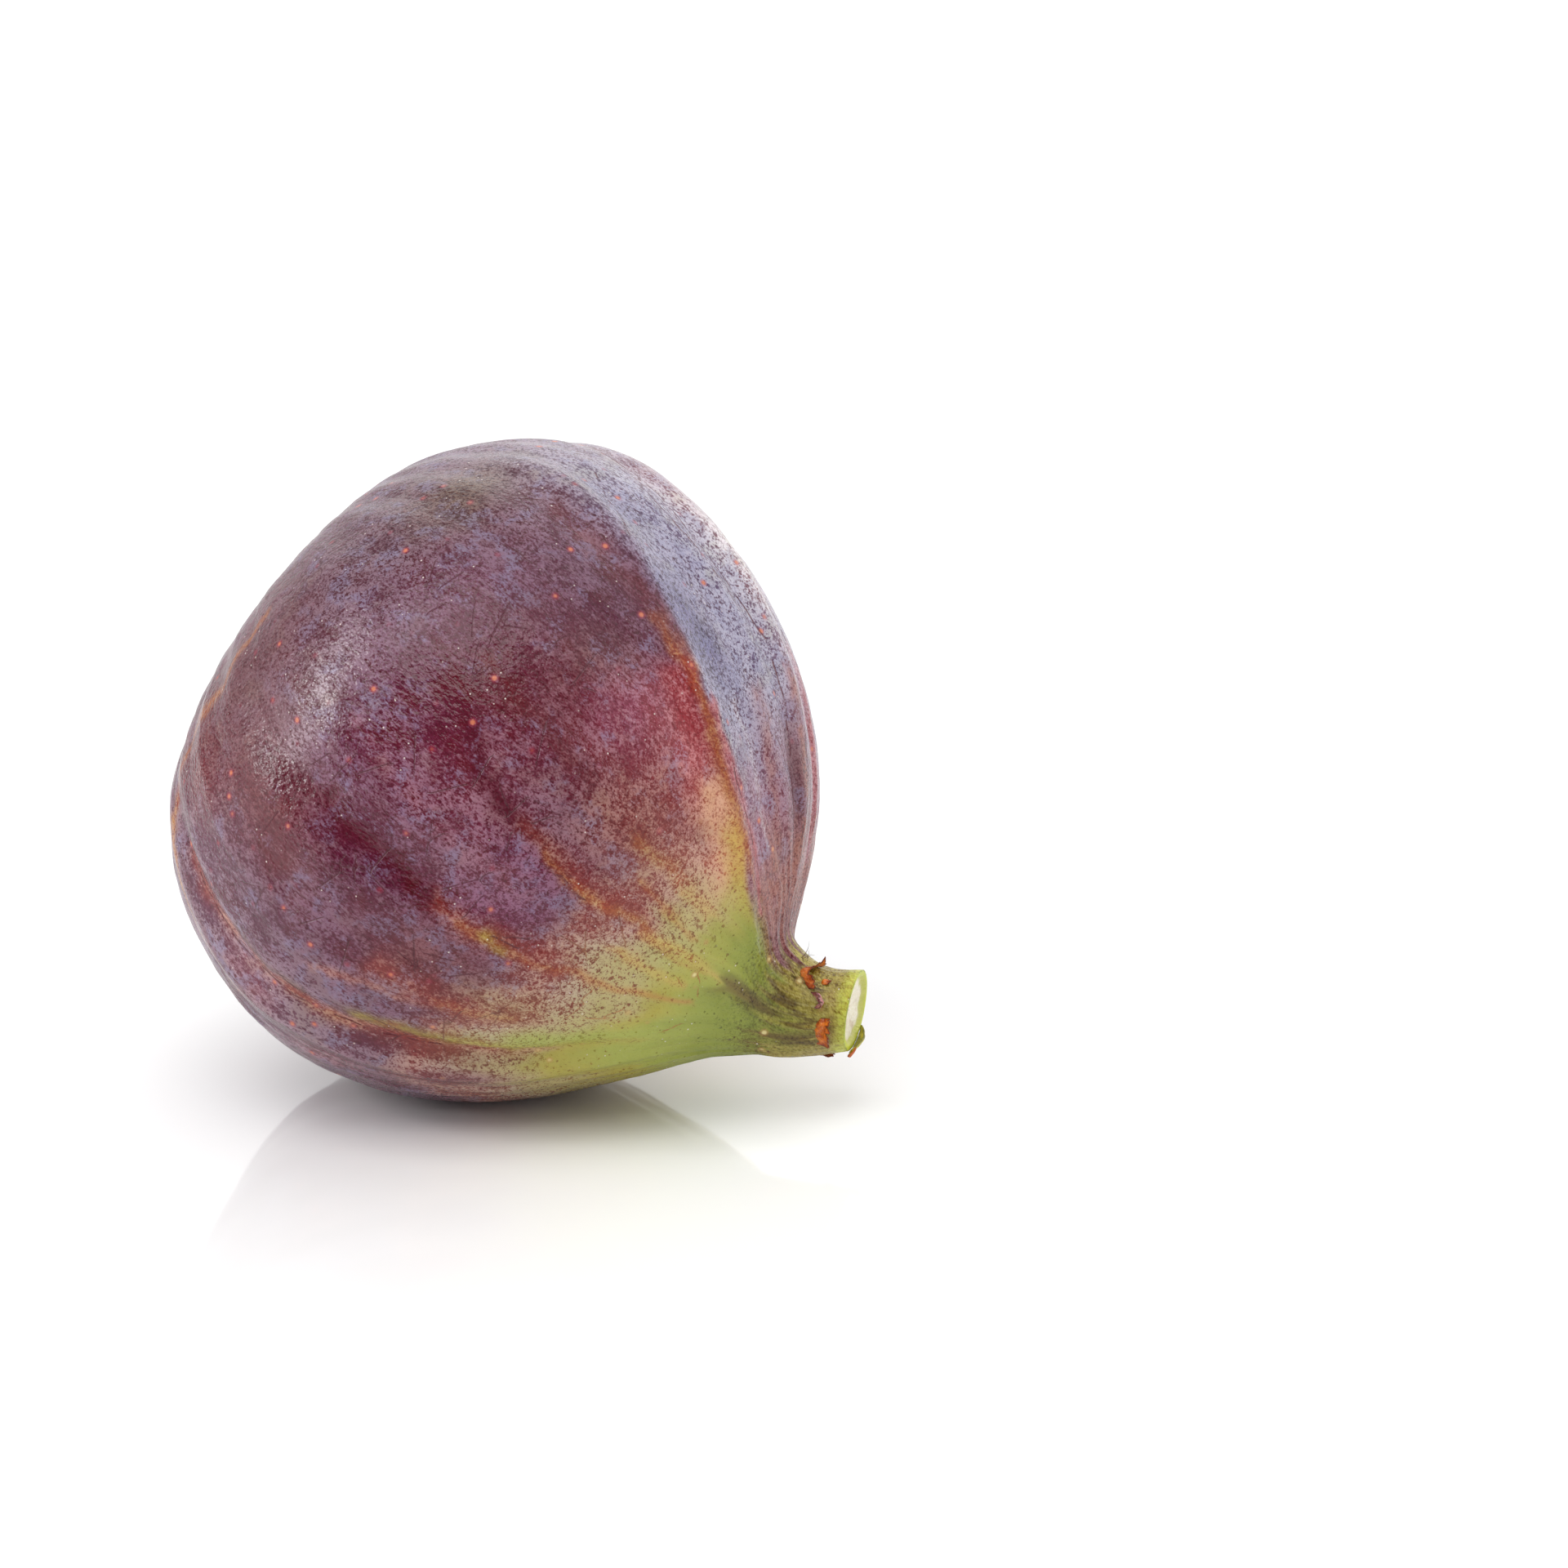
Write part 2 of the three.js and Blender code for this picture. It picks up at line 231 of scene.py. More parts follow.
def relief(station, angle):
    """How far the skin stands out from the smooth form, in mm."""
    rows, columns = station[:, None], angle[None, :]
    degrees = np.degrees(columns)
    rise, full, wane, gone = BULB_STATIONS
    bulb = fade(rows, rise, full) * (1 - fade(rows, wane, gone))
    one_wave = np.sin(LUMP_WAVES[0] * columns + LUMP_TWISTS[0] * rows)
    other_wave = np.cos(LUMP_WAVES[1] * columns + LUMP_TWISTS[1] * rows)
    height = LUMP_HEIGHT * bulb * one_wave * other_wave
    sway = VEIN_SWAY_ROUND * np.sin(2 * columns) + VEIN_SWAY_ALONG * np.sin(rows)
    height += VEIN_HEIGHT * bulb * np.cos(VEIN_COUNT * columns + sway)
    for places, tall, spread, reach in FEATURES:
        height += tall * along_line(places, spread, reach, rows, degrees)
    from_eye = np.linalg.norm(bare_skin(station, angle), axis=-1)
    height -= DIMPLE_DEPTH * bell(from_eye, DIMPLE_RADIUS)
    return height + scale_height(from_eye, columns)


# %% [markdown]
# ## Where things are on the skin
# The skin is a grid of stations and angles, close enough together to hold a wrinkle half a
# millimetre wide. The same grid carries the painting, so a few measures are kept for every point:
# how far it is from the eye along the skin, and how thick the fruit is there.

# %% Grid of the skin
COLUMNS = 380
EYE_ROWS = 30
BODY_ROWS = 215
EYE_REACH = 6.0

angles = np.arange(COLUMNS) / COLUMNS * 2 * np.pi
probe = np.linspace(FIRST_STATION, LAST_STATION, 1200)
probe_ring = on_sections(probe)
crown, belly, cheek = probe_ring[:, 0:2], probe_ring[:, 2:4], probe_ring[:, 4]
steps = np.linalg.norm(np.diff((crown + belly) / 2, axis=0), axis=1)
widths = (np.linalg.norm(crown - belly, axis=1) / 2 + cheek) / 2
steps = np.hypot(steps, np.diff(widths))
probe_arc = np.concatenate([[widths[0]], widths[0] + np.cumsum(steps)])
arc_rows = np.concatenate([
    np.linspace(probe_arc[0], EYE_REACH, EYE_ROWS, endpoint=False),
    np.linspace(EYE_REACH, probe_arc[-1], BODY_ROWS),
])
stations = np.interp(arc_rows, probe_arc, probe)


def arc_at(station):
    """Millimetres along the skin from the eye to a station."""
    return np.interp(station, probe, probe_arc)


def radius_at(station):
    return np.interp(station, probe, widths)


print("the skin is", round(probe_arc[-1], 1), "mm long from the eye to the cut")

# %% [markdown]
# Fine wrinkles run along the skin where it is tight round the neck and slack at the belly. Noise
# that is stretched along the fruit gives them. The helper reads Blender's own noise at many
# points.

# %% Fine wrinkles
def soft_noise(points, size, seed):
    """Smooth noise from -1 to 1 at each point, with lumps of the given size."""
    shifted = points.reshape(-1, 3) / size + [seed * 7.3, seed * 3.1, seed * 5.7]
    return np.array([noise.noise(point) for point in shifted.tolist()]).reshape(points.shape[:-1])


smooth_skin = bare_skin(stations, angles)
rows = stations[:, None]
degrees = np.degrees(angles)[None, :]
arc = arc_rows[:, None] + np.zeros_like(degrees)
radius = radius_at(stations)[:, None]

BULB_RADIUS = 27.0
FIBRE_STRETCH = 7
GRAIN_STRETCH = 1.5
level = np.zeros_like(arc)
fibre = np.stack([
    BULB_RADIUS * np.cos(angles)[None, :] + level,
    BULB_RADIUS * np.sin(angles)[None, :] + level,
    arc / FIBRE_STRETCH,
], axis=-1)
grain = np.stack([smooth_skin[..., 1], smooth_skin[..., 2], arc / GRAIN_STRETCH], axis=-1)

# heights in mm
WRINKLE = 0.035
NECK_WRINKLE = 0.07
SLACK_WRINKLE = 0.11
DIMPLES = 0.05
PORES = 0.025
tight = fade(rows, 6.5, 9.5) * (1 - fade(rows, 10.5, 12))
slack = bell(degrees_apart(degrees, 158), 22) * fade(rows, 1.5, 3) * (1 - fade(rows, 6, 8))
wrinkle = soft_noise(fibre, 1.3, 1) + 0.5 * soft_noise(fibre, 0.6, 2)
fine_relief = wrinkle * (WRINKLE + NECK_WRINKLE * tight + SLACK_WRINKLE * slack)
fine_relief += DIMPLES * soft_noise(smooth_skin, 2.2, 3) + PORES * soft_noise(smooth_skin, 0.9, 4)
fine_relief *= fade(arc, 3, 8)

# %% [markdown]
# ## How it lies
# The fruit lies with its axis sloping down to the stem and its crown rolled back, and it is soft,
# so its weight presses a small flat. The skin is turned as the solid is, moved over it, and what
# would sink into the floor is pressed level.

# %% Lay the fruit down
AXIS_SLOPE = math.radians(34.2)
CROWN_ROLL = math.radians(27.7)
REST_DEPTH = 1.0
PRESS_ROUND = 0.3
CUT_SLANT = 0.08


def slant(station):
    """How much the knife's cut leans to the left cheek, growing from the neck to the cut."""
    return CUT_SLANT * fade(station, 11.5, LAST_STATION)


pose = np.array(Matrix.Rotation(AXIS_SLOPE, 3, "Y") @ Matrix.Rotation(-CROWN_ROLL, 3, "X"))
all_relief = relief(stations, angles) + fine_relief
skin = smooth_skin + outward(stations, angles) * all_relief[..., None]
skin[..., 0] += slant(rows) * skin[..., 1]
lying = skin @ pose.T
lowest = lying[..., 2].min()
offset = (fig_low + fig_high) / 2 - (lying.min((0, 1)) + lying.max((0, 1))) / 2
offset[2] = -lowest - REST_DEPTH


def lay(points):
    """Points of the upright fruit, moved to where it lies."""
    return points @ pose.T + offset


def press(points):
    """Presses what is below the floor level, with a soft edge."""
    pressed = points.copy()
    height = points[..., 2]
    soft = (np.clip(height, -PRESS_ROUND, PRESS_ROUND) + PRESS_ROUND) ** 2 / (4 * PRESS_ROUND)
    pressed[..., 2] = np.where(height > PRESS_ROUND, height, soft)
    return pressed


print("moved by", np.round(offset, 2), "mm")

# %% [markdown]
# ## Painting the skin
# Real figs colour from the eye down: wine-red and purple on the bulb, warming to orange and
# yellow, and green at the neck. Over that lies bloom, a fine wax that looks blue on dark skin and
# cream on light skin. So every paint here is a pair: the deep colour of the bare skin, and the
# hazy one where wax covers it. The pair is stored on the points of the mesh, and the material
# breaks the wax up.

# %% Palette
def colour(code):
    """A paint's hex code as linear red, green and blue."""
    parts = np.array([int(code[place:place + 2], 16) for place in (0, 2, 4)]) / 255
    return np.where(parts <= 0.04045, parts / 12.92, ((parts + 0.055) / 1.055) ** 2.4)


# bare skin, and wax over it
PAINTS = {
    "plum": ("5a1030", "7e566e"),
    "dusky": ("50303c", "7e6872"),
    "dove": ("5c404e", "a698a2"),
    "moss": ("44241a", "6c5238"),
    "wine": ("6c2438", "9e6e7c"),
    "dark_wine": ("540a20", "6c3442"),
    "brown_wine": ("642028", "824a4a"),
    "brown": ("643438", "805658"),
    "violet": ("4c102e", "765468"),
    "berry": ("68103a", "966080"),
    "lilac": ("62324c", "9a8490"),
    "slate": ("523460", "a8a3b7"),
    "dusk": ("3a2646", "7a7294"),
    # near-white frost: thick bloom, and on the shoulder's crown edge also painted rim light
    "frost_and_painted_rim_light": ("86646e", "e2dade"),
    "mauve": ("7a284a", "a27e90"),
    "rose": ("8a3450", "b47c92"),
    "red": ("982830", "c88082"),
    "rust": ("8a342a", "c08b7a"),
    "orange": ("9c4a1c", "c08848"),
    "pink": ("b46444", "d6a286"),
    "ochre": ("b86e30", "d0ac5c"),
    "beige": ("8e3e34", "c49c8a"),
    "tan": ("88442e", "c0ae96"),
    "khaki": ("8c6038", "baac72"),
    "lemon": ("9a8426", "b4a84a"),
    "lime": ("8a941c", "a9b152"),
    "leaf": ("667020", "8e983a"),
    "olive": ("7c6a0c", "bcac5c"),
    "umber": ("443208", "725c28"),
    "ruddy": ("742822", "a06456"),
    "rim": ("a8aa28", "ccd058"),
    # painted highlight: whitish wax for the long shine of the left lamp on the cheek
    "painted_highlight": ("62303e", "dcd2d6"),
}
PAIRS = {
    name: np.concatenate([colour(code) for code in codes]) for name, codes in PAINTS.items()
}


def skin_noise(size, seed):
    """Noise on the skin, with lumps of so many mm."""
    return soft_noise(smooth_skin, size, seed)


# %% [markdown]
# Straight edges between paints would look drawn with a ruler. So the painting has rows and
# degrees of its own, moved a little by noise, and every spot and stroke is placed by those.

# %% Spots, strokes and coats
FAR = 1e6

streaky = 2.2 * soft_noise(fibre, 3.0, 5) + 1.0 * soft_noise(fibre, 1.2, 6)
patchy = 1.2 * skin_noise(4.0, 7) + 0.5 * skin_noise(1.5, 8)
paint_arc = arc + streaky * (0.3 + 0.7 * fade(rows, 5, 8)) + patchy
paint_degrees = degrees + 2.0 * skin_noise(5.0, 9) + 1.2 * skin_noise(1.6, 10)


def past(start, end):
    """0 before one station and 1 past another."""
    return fade(paint_arc, arc_at(start), arc_at(end))


def round_from(degree):
    """Degrees round the painting from an angle."""
    return degrees_apart(paint_degrees, degree)


def spot(station, degree, long, wide):
    """1 at a place, fading over so many mm along the fruit and round it."""
    off_along = (paint_arc - arc_at(station)) / long
    off_round = np.radians(round_from(degree)) * radius / wide
    return np.exp(-(off_along**2 + off_round**2))


def nearer(here, nearest):
    """Of two signed distances, the one nearer to 0."""
    return np.where(np.abs(here) < np.abs(nearest), here, nearest)


def off_stroke(places, arc_here, degrees_here):
    """Signed mm from a line drawn through places, each a station and degrees."""
    nearest = np.full(arc.shape, FAR)
    for (station, degree), (next_station, next_degree) in zip(places[:-1], places[1:]):
        across = radius_at((station + next_station) / 2)
        run = arc_at(next_station) - arc_at(station)
        turn = np.radians(next_degree - degree) * across
        off_along = arc_here - arc_at(station)
        off_round = np.radians(degrees_apart(degrees_here, degree)) * across
        part = np.clip((off_along * run + off_round * turn) / (run**2 + turn**2), 0, 1)
        distance = np.hypot(off_along - part * run, off_round - part * turn)
        side = np.sign(off_along * turn - off_round * run)
        nearest = nearer(distance * side, nearest)
    return nearest


def stroke(places, wide):
    """1 on a line drawn through places, fading over so many mm to its sides."""
    return bell(off_stroke(places, paint_arc, paint_degrees), wide)


def coats(under, *layers):
    """Lays coats of paint, each a name and how much of it, one over the other."""
    for name, amount in layers:
        under = under + (PAIRS[name] - under) * np.clip(amount, 0, 1)[..., None]
    return under


# %% [markdown]
# The tall ridge parts two worlds. To its right the skin is slate-blue under thick wax, and to its
# left it is red and wine. The border is almost as sharp as a line, so it is kept as a mask.

# %% The border on the ridge
RIDGE_LINE = FEATURES[0][0]
mm_left_of_ridge = np.radians(degrees_apart(degrees, place_of(RIDGE_LINE, rows))) * radius
wobble = 0.5 * skin_noise(2.5, 14)
softness = 0.45 + 3.5 * (1 - fade(rows, 4.0, 6.0))
right_of_ridge = 1 - fade(mm_left_of_ridge + wobble, -softness, softness)
right_of_ridge = right_of_ridge * fade(round_from(-100), 0, 30) * (0.2 + 0.8 * past(3.0, 4.8))
left_of_ridge = 1 - right_of_ridge

# %% Patches of colour
# paint, station, degrees, mm along, mm round, strength
PATCHES = [
    ("dusky", 3.0, 70, 10, 20, 0.8),
    ("brown", 2.9, 114, 8, 8, 0.9),
    ("moss", 3.5, 47, 4, 6, 0.95),
    # painted highlight: two spots of whitish flecks where the cheek's long shine falls
    ("painted_highlight", 4.1, 111, 1.6, 2.6, 0.35),
    ("painted_highlight", 3.9, 98, 1.8, 3.4, 0.35),
    ("dove", 4.1, 30, 7, 6, 0.9),
    ("violet", 5.0, 50, 7, 5, 0.8),
    ("violet", 5.1, 118, 7, 5, 0.5),
    ("brown_wine", 4.2, 122, 6, 4, 1.0),
    ("brown_wine", 3.1, 136, 6, 5, 0.9),
    ("plum", 4.5, 72, 4, 4, 0.85),
    ("dark_wine", 5.1, 80, 4, 3.5, 0.8),
    ("dark_wine", 4.95, 71, 2.5, 2.5, 0.5),
    ("wine", 5.8, 90, 7, 6, 0.9),
    ("brown_wine", 5.9, 68, 6, 5, 0.7),
    ("moss", 5.8, 60, 3, 3, 0.35),
    ("violet", 6.5, 88, 4, 4, 0.6),
    ("rose", 6.3, 64, 4, 4, 0.8),
    ("red", 7.0, 60, 4.5, 4, 0.8),
    ("rust", 7.0, 78, 5, 5, 0.8),
    ("berry", 6.5, 107, 5, 5, 0.8),
    ("brown_wine", 6.2, 124, 5, 4, 0.8),
    ("lilac", 3.9, 146, 9, 7, 0.8),
    ("lilac", 5.0, 160, 12, 8, 0.9),
    ("violet", 4.6, 135, 6, 4, 0.5),
    ("dusky", 3.6, 240, 14, 24, 0.6),
    ("wine", 5.6, 236, 12, 14, 0.7),
    ("slate", 5.4, 300, 12, 14, 0.5),
    ("red", 7.2, 214, 6, 8, 0.6),
    ("mauve", 7.6, 300, 9, 10, 0.7),
    ("dark_wine", 6.3, 162, 5, 3, 0.5),
    ("dusky", 2.9, 111, 5, 5, 0.4),
    ("rust", 3.3, 133, 3, 3, 0.25),
    ("dark_wine", 4.2, 122, 3, 3, 0.3),
    ("lilac", 4.0, 142, 3, 3, 0.35),
    ("red", 4.8, 152, 3, 3, 0.25),
    ("red", 5.7, 163, 3, 3, 0.3),
    ("brown_wine", 6.95, 78, 3, 3, 0.35),
]
paint = np.zeros(arc.shape + (6,)) + PAIRS["plum"]
for name, *place, strength in PATCHES:
    paint = coats(paint, (name, strength * spot(*place)))

# %% [markdown]
# The green comes up from the stem. It reaches furthest on the belly side and least on the crown,
# where purple runs nearly to the stem, so the height of its edge depends on the angle.

# %% Green neck
crown_side = fade(round_from(-80), 0, 30) * (1 - fade(round_from(60), 0, 18))
crown_side = np.where(round_from(10) > -110, crown_side, 0)
edge = arc_at(8.0) + 14.0 * crown_side + 4.0 * bell(round_from(82), 24)
edge = edge - 6.5 * bell(round_from(150), 18)
into_green = paint_arc - edge
below_crown = 1 - crown_side
flank = left_of_ridge * below_crown
lime_here = fade(into_green, 2, 7) * (1 - 0.6 * bell(round_from(82), 20))
paint = coats(
    paint,
    ("beige", 0.9 * fade(into_green, -13, -8) * flank),
    ("tan", 0.9 * fade(into_green, -9, -5) * fade(degrees_apart(degrees, 96), 0, 22)),
    ("khaki", 0.95 * fade(into_green, -7, -2) * flank),
    ("lemon", fade(into_green, -1.5, 2.5)),
    ("lime", 0.9 * lime_here * below_crown),
)

# %% [markdown]
# Along the ridge a band of pink, ochre and yellow glows through thin skin. It starts as a thin
# orange line high on the ridge and widens toward the neck.

# %% Glow beside the ridge
glow = left_of_ridge * stroke([(7.5, 62), (7.9, 66), (8.3, 70), (8.9, 77)], 2.4)
GLOW_STROKES = [
    ("red", 0.8, [(6.4, 52), (6.8, 56), (7.3, 63)], 1.8),
    ("ochre", 1.2, [(7.9, 62), (8.4, 68), (8.9, 76), (9.3, 84)], 1.5),
    ("lemon", 0.6, [(8.5, 74), (9.2, 84)], 1.8),
]
red_line, *yellow_lines = (
    (name, strength * left_of_ridge * stroke(places, wide))
    for name, strength, places, wide in GLOW_STROKES
)
pink_band = ("pink", 1.2 * glow * (1 - fade(rows, 8.0, 8.5)))
paint = coats(paint, red_line, pink_band, *yellow_lines)

# %% [markdown]
# The shoulder beyond the ridge is painted on its own, from slate at the crown to plum-brown at
# the neck, and then laid over the rest through the mask.

# %% Blue shoulder
shoulder = coats(
    np.zeros(arc.shape + (6,)) + PAIRS["slate"],
    # partly thick bloom and partly painted rim light: near-white wax along the crown edge, where the
    # top edge catches the light
    ("frost_and_painted_rim_light", spot(5.2, 8, 8, 3) + spot(6.0, 8, 7, 3) + 0.7 * spot(4.6, -8, 10, 8)),
    ("mauve", 0.6 * spot(4.6, 8, 5, 2.5) + 0.5 * spot(5.4, 0, 8, 2.5)),
    ("dusk", 1.2 * spot(6.2, 40, 5.5, 2.8) + 0.6 * spot(4.8, 30, 3, 3)
     + 0.4 * spot(5.6, 33, 3, 3)),
    ("mauve", past(6.9, 8.2)),
    ("mauve", spot(7.6, 8, 8, 3)),
    ("ruddy", 0.9 * past(8.1, 9.0) + 0.6 * spot(8.0, 20, 4, 2)),
    ("violet", 0.8 * spot(8.0, 20, 5, 2.5)),
    ("dark_wine", 0.5 * spot(8.0, 20, 5, 2.5)),
    ("ruddy", 0.5 * spot(8.8, 47, 3, 2.5)),
)
paint = paint + (shoulder - paint) * (right_of_ridge * (1 - past(9.6, 10.6)))[..., None]

# %% Neck and stem
paint = coats(
    paint,
    ("wine", 0.8 * spot(6.75, 156, 3.5, 2.5)),
    ("leaf", 0.95 * past(8.2, 9.3) * below_crown),
    ("olive", past(10.0, 10.8)),
    ("leaf", 0.8 * spot(10.2, 125, 4, 2)),
    ("leaf", 0.5 * spot(9.2, 126, 4, 3)),
)
UMBER_STROKES = [
    ([(9.0, 109), (9.6, 106), (10.2, 106)], 0.8), ([(10.6, 84), (11.1, 100), (11.6, 116)], 0.4),
    ([(10.9, 132), (12.1, 134)], 0.5), ([(11.0, 140), (12.0, 141)], 0.2),
    ([(10.6, 88), (11.2, 91)], 0.4), ([(11.2, 62), (11.8, 66)], 0.4),
    ([(10.0, 230), (11.4, 226)], 0.7), ([(10.8, 300), (12.0, 296)], 0.8),
]
for places, wide in UMBER_STROKES:
    paint = coats(paint, ("umber", 0.9 * stroke(places, wide)))
paint = coats(paint, ("rim", fade(rows + 0.25 * patchy, 12.55, 12.9)))

# %% [markdown]
# Streaks run along the veins toward the neck, where red skin changes to green. The warm ones lie
# in furrows, where the wax is worn thin, so they are noted for the bloom as well. The dark wine
# streak in the furrow near 112 degrees is painted shade there, and it thins the wax too.

# %% Streaks
# paint, places, half width in mm, strength
STREAKS = [
    ("orange", [(5.8, 46.0), (6.4, 48.5), (7.0, 52.5), (7.7, 58.5), (8.4, 65.5)], 0.5, 0.9),
    ("brown_wine", [(4.4, 43.5), (5.2, 44.0), (6.0, 46.0)], 0.9, 0.5),
    # painted shade: this dark wine streak darkens the furrow near 112 degrees
    ("dark_wine", [(3.9, 115), (4.6, 111), (5.2, 110), (6.0, 112)], 0.9, 0.9),
    ("rust", [(5.9, 112), (6.4, 115), (7.0, 114)], 0.9, 0.7),
    ("orange", [(6.2, 114), (6.7, 116), (7.3, 117), (8.1, 120), (8.6, 122)], 0.35, 0.7),
    ("lemon", [(6.5, 115), (6.7, 116)], 0.35, 0.6),
    ("ochre", [(6.9, 97), (7.5, 99), (7.9, 101), (8.4, 103), (8.8, 107)], 0.45, 0.8),
    ("orange", [(7.5, 100.5), (8.0, 103), (8.6, 107)], 0.2, 0.6),
    ("dark_wine", [(5.2, 84), (5.6, 89), (6.2, 93), (6.7, 95)], 0.8, 0.8),
    ("rust", [(6.3, 93), (6.9, 95), (7.6, 97)], 0.9, 0.6),
    ("orange", [(6.5, 95.5), (7.1, 97)], 0.4, 0.6),
    ("ochre", [(7.1, 82), (7.6, 81.5), (8.0, 84), (8.4, 87)], 0.6, 0.4),
    ("orange", [(7.5, 89), (7.9, 92), (8.3, 96)], 0.35, 0.6),
    ("ochre", [(7.6, 108), (8.1, 111), (8.5, 114)], 0.4, 0.6),
    ("brown_wine", [(5.0, 74), (5.5, 76), (6.0, 77.5), (6.4, 79)], 0.8, 0.6),
    ("wine", [(4.4, 96), (5.0, 98), (5.8, 101), (6.4, 103)], 0.7, 0.6),
    ("rust", [(5.3, 137), (5.8, 135), (6.3, 132.5)], 0.5, 0.7),
    ("rust", [(5.9, 130), (6.6, 131), (7.1, 133)], 1.3, 0.7),
    ("orange", [(6.4, 132), (6.9, 133)], 0.7, 0.6),
    ("rust", [(3.6, 149), (4.6, 148), (5.6, 147), (6.6, 146), (7.4, 145)], 0.8, 0.9),
    ("moss", [(4.6, 145.5), (5.2, 145)], 0.7, 0.6),
    ("lemon", [(5.8, 143.5), (6.6, 143), (7.4, 143), (8.2, 142)], 0.8, 0.9),
    ("lime", [(7.2, 140), (8.2, 138)], 1.2, 0.8),
    ("dark_wine", [(2.9, 153), (3.8, 154), (4.8, 157), (5.6, 159)], 0.45, 0.6),
    ("lilac", [(3.0, 144.5), (4.0, 145), (5.0, 149)], 0.6, 0.3),
    ("orange", [(2.3, 100), (2.5, 124), (2.8, 141), (3.2, 155), (4.0, 159), (4.8, 160)], 0.5, 0.8),
    ("red", [(6.8, 49), (7.2, 52), (7.9, 57), (8.4, 61), (9.0, 66)], 0.45, 0.9),
    ("frost_and_painted_rim_light", [(7.0, 40), (7.7, 45), (8.4, 50)], 0.3, 0.35),
    ("ruddy", [(7.0, 13), (7.7, 15), (8.4, 20), (9.2, 27)], 0.7, 0.8),
    ("red", [(6.8, -3), (7.7, -1), (8.8, 3)], 1.2, 0.7),
    ("ruddy", [(7.0, 30), (7.7, 36), (8.4, 42)], 0.8, 0.6),
    ("dark_wine", [(3, 190), (6, 196), (8, 199)], 1.4, 0.5),
    ("rust", [(3, 260), (6, 254), (9, 243)], 1.8, 0.5),
    ("orange", [(6, 276), (8, 266), (9.4, 258)], 1.5, 0.5),
    ("dark_wine", [(3, 319), (6, 322), (9, 328)], 1.3, 0.4),
    ("orange", [(5.2, 148), (5.9, 148)], 1.0, 0.3),
    ("khaki", [(6.8, 129), (7.4, 130)], 2.0, 0.4),
    ("lime", [(8.2, 105), (8.6, 105)], 2.2, 0.35),
]
WORN_AND_SHADED_PAINTS = {"dark_wine", "rust", "orange", "ochre", "lemon", "brown_wine", "red"}
worn_and_shaded = np.zeros(arc.shape)
for name, places, wide, strength in STREAKS:
    drawn = strength * stroke(places, wide)
    paint = coats(paint, (name, drawn))
    if name in WORN_AND_SHADED_PAINTS:
        worn_and_shaded = np.maximum(worn_and_shaded, drawn)

# %% [markdown]
# Bloom lies thick on the shoulder beside the tall ridge, and hands have rubbed it thin over the
# middle of the cheek. Its thickness, from 0 for none to 1 for a closed coat, is painted here.

# %% Bloom
# station, degrees, mm along, mm round, thickness added
BLOOM_SPOTS = [
    (3.4, 76, 9, 14, 0.08),
    (4.3, 84, 4, 5, 0.04),
    (4.5, 71, 4, 4, -0.06),
    (5.0, 50, 7, 5, -0.04),
    (4.9, 134, 7, 6, 0.08),
    (5.2, 121, 5, 5, 0.04),
    (5.1, 82, 4, 3.5, -0.3),
    (5.9, 93, 5, 5, 0.08),
    (4.3, 121, 6, 4, -0.3),
    (3.2, 136, 6, 5, -0.25),
    # thicker wax under the painted highlight, so more of its whitish flecks show
    (4.1, 112, 1.8, 3.2, 0.1),
    (4.6, 72, 4, 4, -0.15),
    (4.8, 94, 4, 4, 0.07),
    (4.7, 137, 5, 4, -0.1),
    (5.9, 72, 5, 5, -0.05),
    (6.9, 61, 6, 5, -0.05),
    (5.5, 300, 16, 18, 0.2),
]
bloom = 0.45 + 0.13 * skin_noise(7.0, 11) + 0.16 * skin_noise(3.0, 12)
for *place, amount in BLOOM_SPOTS:
    bloom = bloom + amount * spot(*place)
for thickness, here in [
    (0.6, right_of_ridge),
    (0.5, spot(2.9, 114, 8, 8)),
    (0.66, np.clip(glow * 1.2, 0, 1)),
    (0.74, fade(into_green, -9, -3) * below_crown),
    (0.95, fade(into_green, -3, 3) * below_crown),
    (0.5, past(8.8, 10.2)),
    (0.3, spot(6.75, 156, 3, 2.5)),
]:
    bloom = bloom + (thickness - bloom) * here
bloom = np.clip(bloom - 0.2 * worn_and_shaded + 0.6 * slack * wrinkle, 0, 1)
smooth = np.clip(spot(2.9, 112, 8, 7) + fade(into_green, 0, 6) + 0.7 * glow, 0, 1)
pale = np.clip(fade(into_green, -12, -2) + glow, 0, 1)

# %% [markdown]
# Thin dark creases and dry scratches are finer than the mesh. What is stored instead is each
# point's distance from the nearest one, with a sign for its side. The sign changes exactly on the
# line, so the material can draw it as thin as it likes.

# %% Creases and scratches
CREASES = [
    [(4.0, 12), (4.8, 15), (5.3, 18), (5.9, 18.5), (6.6, 17.5), (7.3, 19.5), (8.1, 26), (8.9, 32),
     (9.6, 34)],
    [(4.2, 25), (4.6, 31), (5.0, 37)],
    [(5.2, 8), (5.8, 3), (6.4, -1), (7.2, -3)],
    [(7.2, 13), (7.9, 15), (8.6, 21)],
    [(3.5, 149.5), (4.6, 149), (5.6, 148), (6.6, 147)],
    [(6.7, 97), (7.0, 98.5)],
    [(4.3, 16), (5.2, 21), (5.9, 22), (6.4, 21)],
    [(3.1, 160), (3.8, 163), (4.8, 166)],
    [(6.8, 48.5), (7.25, 51.5), (7.85, 56.5), (8.4, 60)],
]
